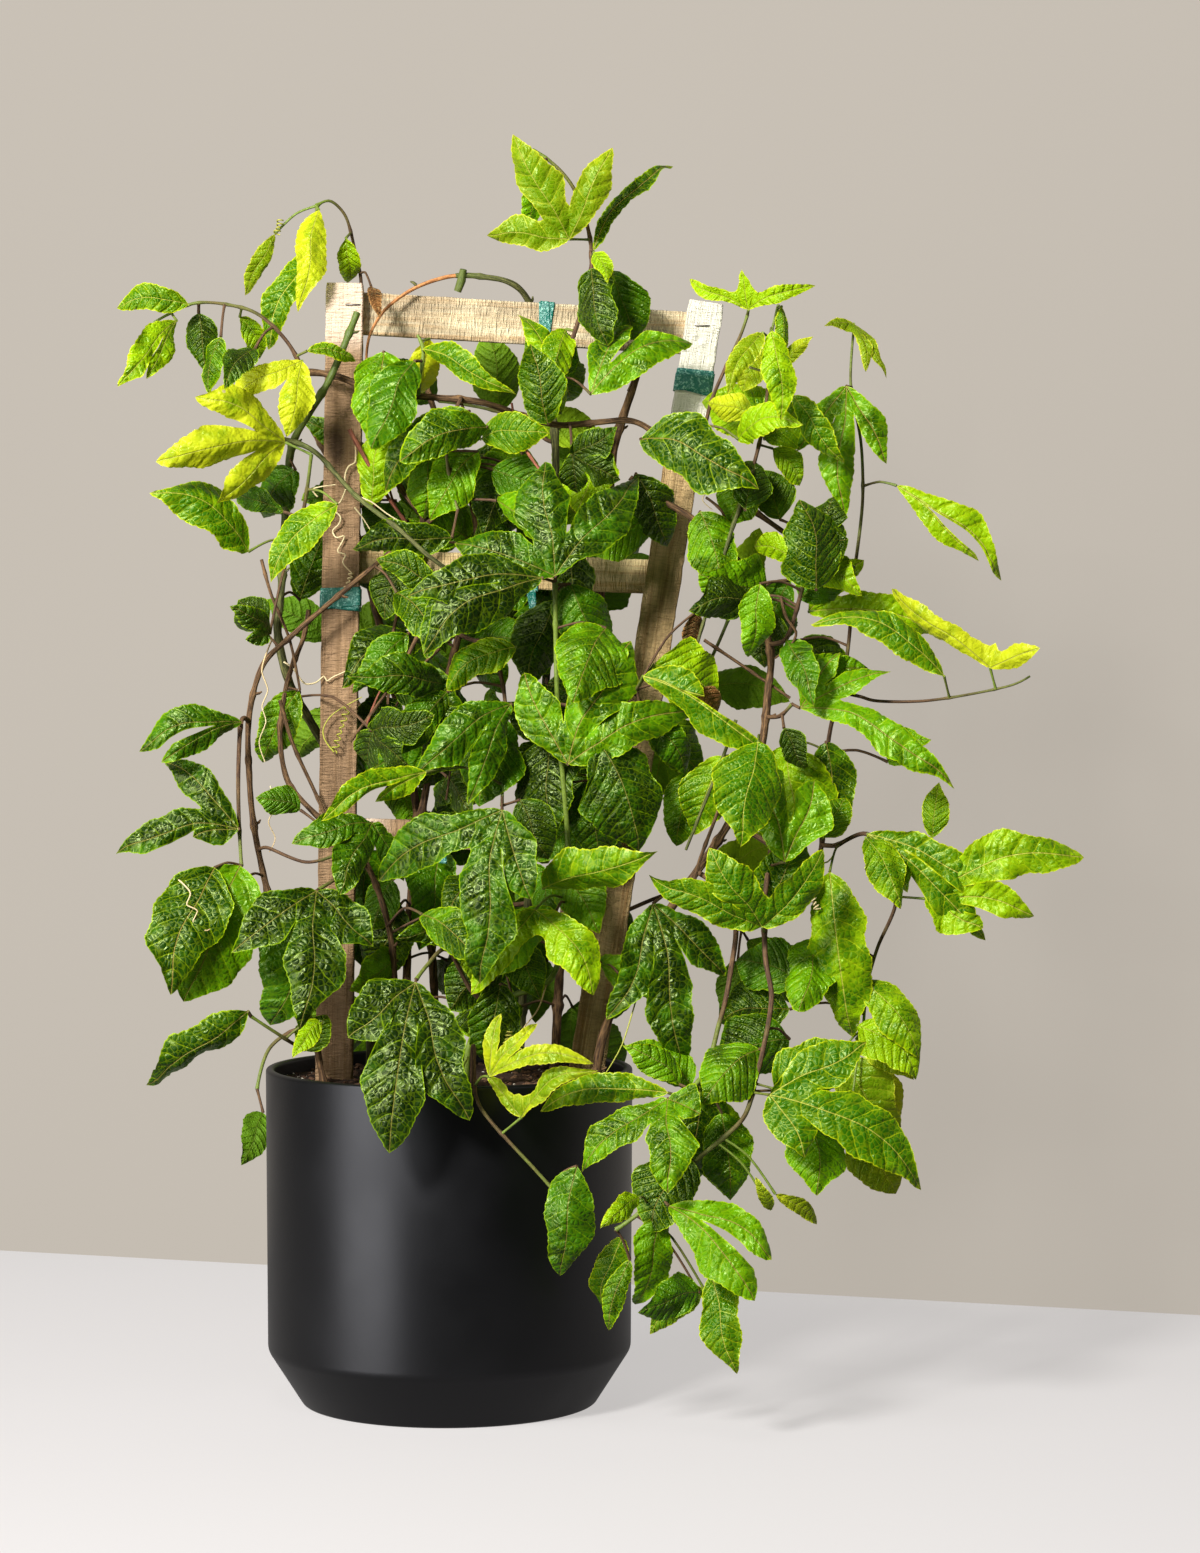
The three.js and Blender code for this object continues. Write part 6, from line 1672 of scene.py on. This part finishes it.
# ---- Twigs and tendrils. Bare twigs cross between the canes and the ladder: green, red and dead
# brown ones. Thin tendrils hold on round them: pale and dry where old, yellow-green where young,
# with springs of close turns.
TWIG_JOINTS, TENDRIL_STEP = [11, 40, 74, 112], 1.4   # mm
red_bark = bark("red_bark", paint(92, 44, 32), paint(170, 104, 76), paint(150, 120, 60), 2.0, 3.0,
                0.0004)
pale_tendril = mottled("pale_tendril", paint(232, 212, 162), paint(186, 146, 92), 0.8, 300.0, 0.5,
                       0.0001)
yellow_tendril = mottled("yellow_tendril", paint(176, 176, 62), paint(140, 120, 50), 0.8, 300.0,
                         0.5, 0.0001)
TWIGS = [                         # kind, radius at both ends, marks
  ['green', 1.9, 1.4, [283, 440, -26], [302, 445, -28], [322, 458, -32], [355, 495, -50],
    [400, 530, -74], [430, 557, -84], [474, 588, -70]],
  ['red', 1.6, 1.1, [350, 430, -16], [368, 463, -14], [390, 500, -4], [406, 522, 6]],
  ['red', 1.2, 0.9, [377, 436, -10], [380, 480, -6], [374, 512, -2]],
  ['red', 1.0, 0.8, [382, 460, -4], [393, 500, 0], [402, 516, 6]],
  ['brown', 2.2, 1.9, [393, 476, 8], [408, 498, 6], [430, 524, 4]],
  ['brown', 2.5, 1.7, [418, 570, 14], [423, 524, 2], [428, 500, -6], [441, 488, -12],
    [466, 470, -20]],
  ['brown', 1.5, 1.1, [425, 620, -8], [402, 668, -12], [385, 695, -16], [350, 742, -18]],
  ['brown', 1.3, 0.9, [452, 638, 6], [420, 668, 0], [396, 706, -10]],
  ['brown', 1.3, 1.0, [404, 590, 2], [392, 640, -4], [388, 704, 4]],
  ['red', 0.9, 0.7, [367, 724, -18], [376, 700, -16], [385, 682, -14]],
  ['green', 1.5, 1.1, [753, 470, -74], [735, 520, -72], [716, 580, -70], [692, 662, -66]],
  ['brown', 1.2, 1.0, [704, 640, -40], [740, 664, -44], [790, 698, -50]],
  ['brown', 1.1, 0.8, [781, 598, -70], [786, 618, -74], [796, 632, -72], [790, 646, -68],
    [775, 658, -60]],
  ['brown', 1.0, 0.8, [706, 498, -54], [722, 512, -60], [726, 534, -60], [714, 552, -56]],
  ['brown', 1.6, 1.3, [600, 470, 10], [614, 520, 14], [600, 600, 20], [590, 690, 26]],
  ['brown', 1.4, 1.0, [690, 900, -70], [700, 860, -74], [722, 800, -70], [726, 770, -64]],
  ['green', 1.3, 1.0, [736, 720, -90], [722, 760, -94], [706, 800, -92], [686, 850, -84]],
  ['brown', 1.2, 0.9, [262, 560, -34], [272, 596, -40], [290, 640, -30], [300, 690, -20]],
  ['brown', 1.4, 1.2, [280, 700, -24], [292, 742, -22], [312, 786, -18], [330, 826, -20]],
  ['brown', 1.1, 0.8, [440, 700, -30], [452, 742, -34], [446, 800, -30]],
  ['red', 1.1, 0.8, [540, 470, -60], [520, 440, -52], [512, 404, -40]],
  ['brown', 1.3, 0.9, [628, 318, 0], [640, 356, -8], [628, 392, -12]],
]
TENDRILS = [                      # kind, radius, marks
  ['pale', 0.75, [356, 444, -11], [356, 462, -11], [350, 466, -12], [346, 474, -12],
    [346, 486, -14], [353, 494, -21], [362, 498, -26], [373, 503, -26], [386, 513, -25],
    [399, 521, -24], [414, 528, -18]],
  ['pale', 0.6, [318, 497, -18], [313, 490, -20], [322, 487, -22], [336, 485, -27]],
  ['pale', 0.6, [346, 490, -26], [341, 502, -18], [333, 509, -12], [330, 522, -8]],
  ['pale', 0.65, [334, 511, -10], [341, 517, -11], [339, 525, -10], [333, 531, -9], [337, 538, -11],
    [345, 536, -10], [341, 545, -9], [338, 552, -11], [346, 555, -10], [343, 563, -10],
    [352, 573, -9]],
  ['pale', 0.55, [355, 508, -18], [363, 518, -14], [371, 531, -10], [377, 543, -6]],
  ['pale', 0.7, [284, 662, -12], [293, 668, -14], [299, 677, -14], [306, 684, -13], [317, 682, -11],
    [324, 676, -9], [327, 681, -9], [333, 677, -9], [342, 673, -9], [352, 668, -8]],
  ['yellow', 0.6, [334, 752, -12], [326, 742, -12], [323, 730, -12], [330, 717, -12],
    [342, 708, -13], [362, 697, -15]],
  ['pale', 0.6, [272, 640, -46], [266, 655, -50], [262, 672, -50], [268, 690, -48], [262, 706, -46],
    [266, 722, -46], [259, 742, -44], [265, 762, -42]],
  ['pale', 0.55, [270, 786, -42], [275, 806, -46], [268, 822, -46], [275, 838, -44],
    [269, 852, -48]],
  ['pale', 0.6, [178, 880, -110], [190, 893, -112], [186, 905, -112], [197, 911, -112],
    [192, 924, -111], [207, 931, -110], [214, 920, -104], [230, 905, -84]],
  ['yellow', 0.6, [643, 978, -110], [634, 1008, -116], [622, 1046, -124], [606, 1074, -132]],
  ['pale', 0.6, [546, 986, -64], [538, 1010, -80], [524, 1028, -96], [527, 1034, -98]],
  ['yellow', 0.6, [836, 850, -60], [828, 862, -70], [806, 868, -76], [802, 884, -90],
    [812, 896, -96]],
  ['pale', 0.5, [700, 470, -60], [708, 488, -64], [702, 500, -64], [712, 510, -60]],
  ['yellow', 0.55, [468, 1058, -150], [462, 1072, -152], [468, 1084, -154]],
]
SPRINGS = [                       # tendrils of close turns: from, to, turns and their reach in mm
  ['yellow', [348, 706, -15], [334, 752, -13], 7, 2.3],
  ['yellow', [527, 1034, -98], [519, 1049, -102], 5, 2.2],
  ['yellow', [510, 1032, -96], [503, 1050, -98], 5, 2.0],
  ['yellow', [172, 326, -72], [166, 340, -74], 4, 2.6],
  ['yellow', [282, 222, -4], [278, 236, -6], 4, 2.4],
  ['pale', [352, 573, -9], [346, 590, -9], 4, 1.8],
  ['pale', [812, 896, -96], [818, 910, -98], 4, 2.2],
]


def sprung(start, end, turns, reach):
    """The turns of a spring round the line between two places."""
    along = unit(end - start)
    out = unit(np.cross(along, [0.2, 1, 0]))
    beside = np.cross(along, out)
    t = np.linspace(0, 1, 12 * turns + 1)[:, None]
    wind = 2 * math.pi * turns * t
    narrow = reach * (0.75 + 0.25 * np.sin(9 * t))
    return start + t * (end - start) + narrow * (np.cos(wind) * out + np.sin(wind) * beside)


twig_runs = {"green": [], "red": [], "brown": []}
for kind, foot_r, tip_r, *marks in TWIGS:
    line, share, places = drawn_out(route(marks), STEM_STEP)
    radii = jointed(places, foot_r + (tip_r - foot_r) * share, TWIG_JOINTS, SOFT_SWELL)
    twig_runs[kind].append((line, radii, 0.55 if kind == "green" else 0.1))
for kind, material in (("green", green_bark), ("red", red_bark), ("brown", brown_bark)):
    twigs = sticks("twigs_" + kind, twig_runs[kind], STEM_SIDES, material)
    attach(twigs, "root")
tendril_runs = {"pale": [], "yellow": []}
for kind, radius, *marks in TENDRILS:
    line, share, _ = drawn_out(route(marks), TENDRIL_STEP)
    tendril_runs[kind].append((line, radius * (1 - 0.35 * share), 0))
for kind, start, end, turns, reach in SPRINGS:
    tendril_runs[kind].append((sprung(spot(*start), spot(*end), turns, reach), 0.5, 0))
# A loose flat curl hangs over the lip in front
wind = np.linspace(0, 4.2 * math.pi, 60)[:, None]
curl_reach = 1.5 + 5.5 * wind / wind[-1]
curl_middle = spot(452, 1087, -146)
tendril_runs["yellow"].append((curl_middle + curl_reach * np.hstack([
    np.cos(wind), 0.18 * np.cos(wind), np.sin(wind)]), 0.6, 0))
for kind, material in (("pale", pale_tendril), ("yellow", yellow_tendril)):
    tendrils = sticks("tendrils_" + kind, tendril_runs[kind], THIN_SIDES, material)
    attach(tendrils, "root")
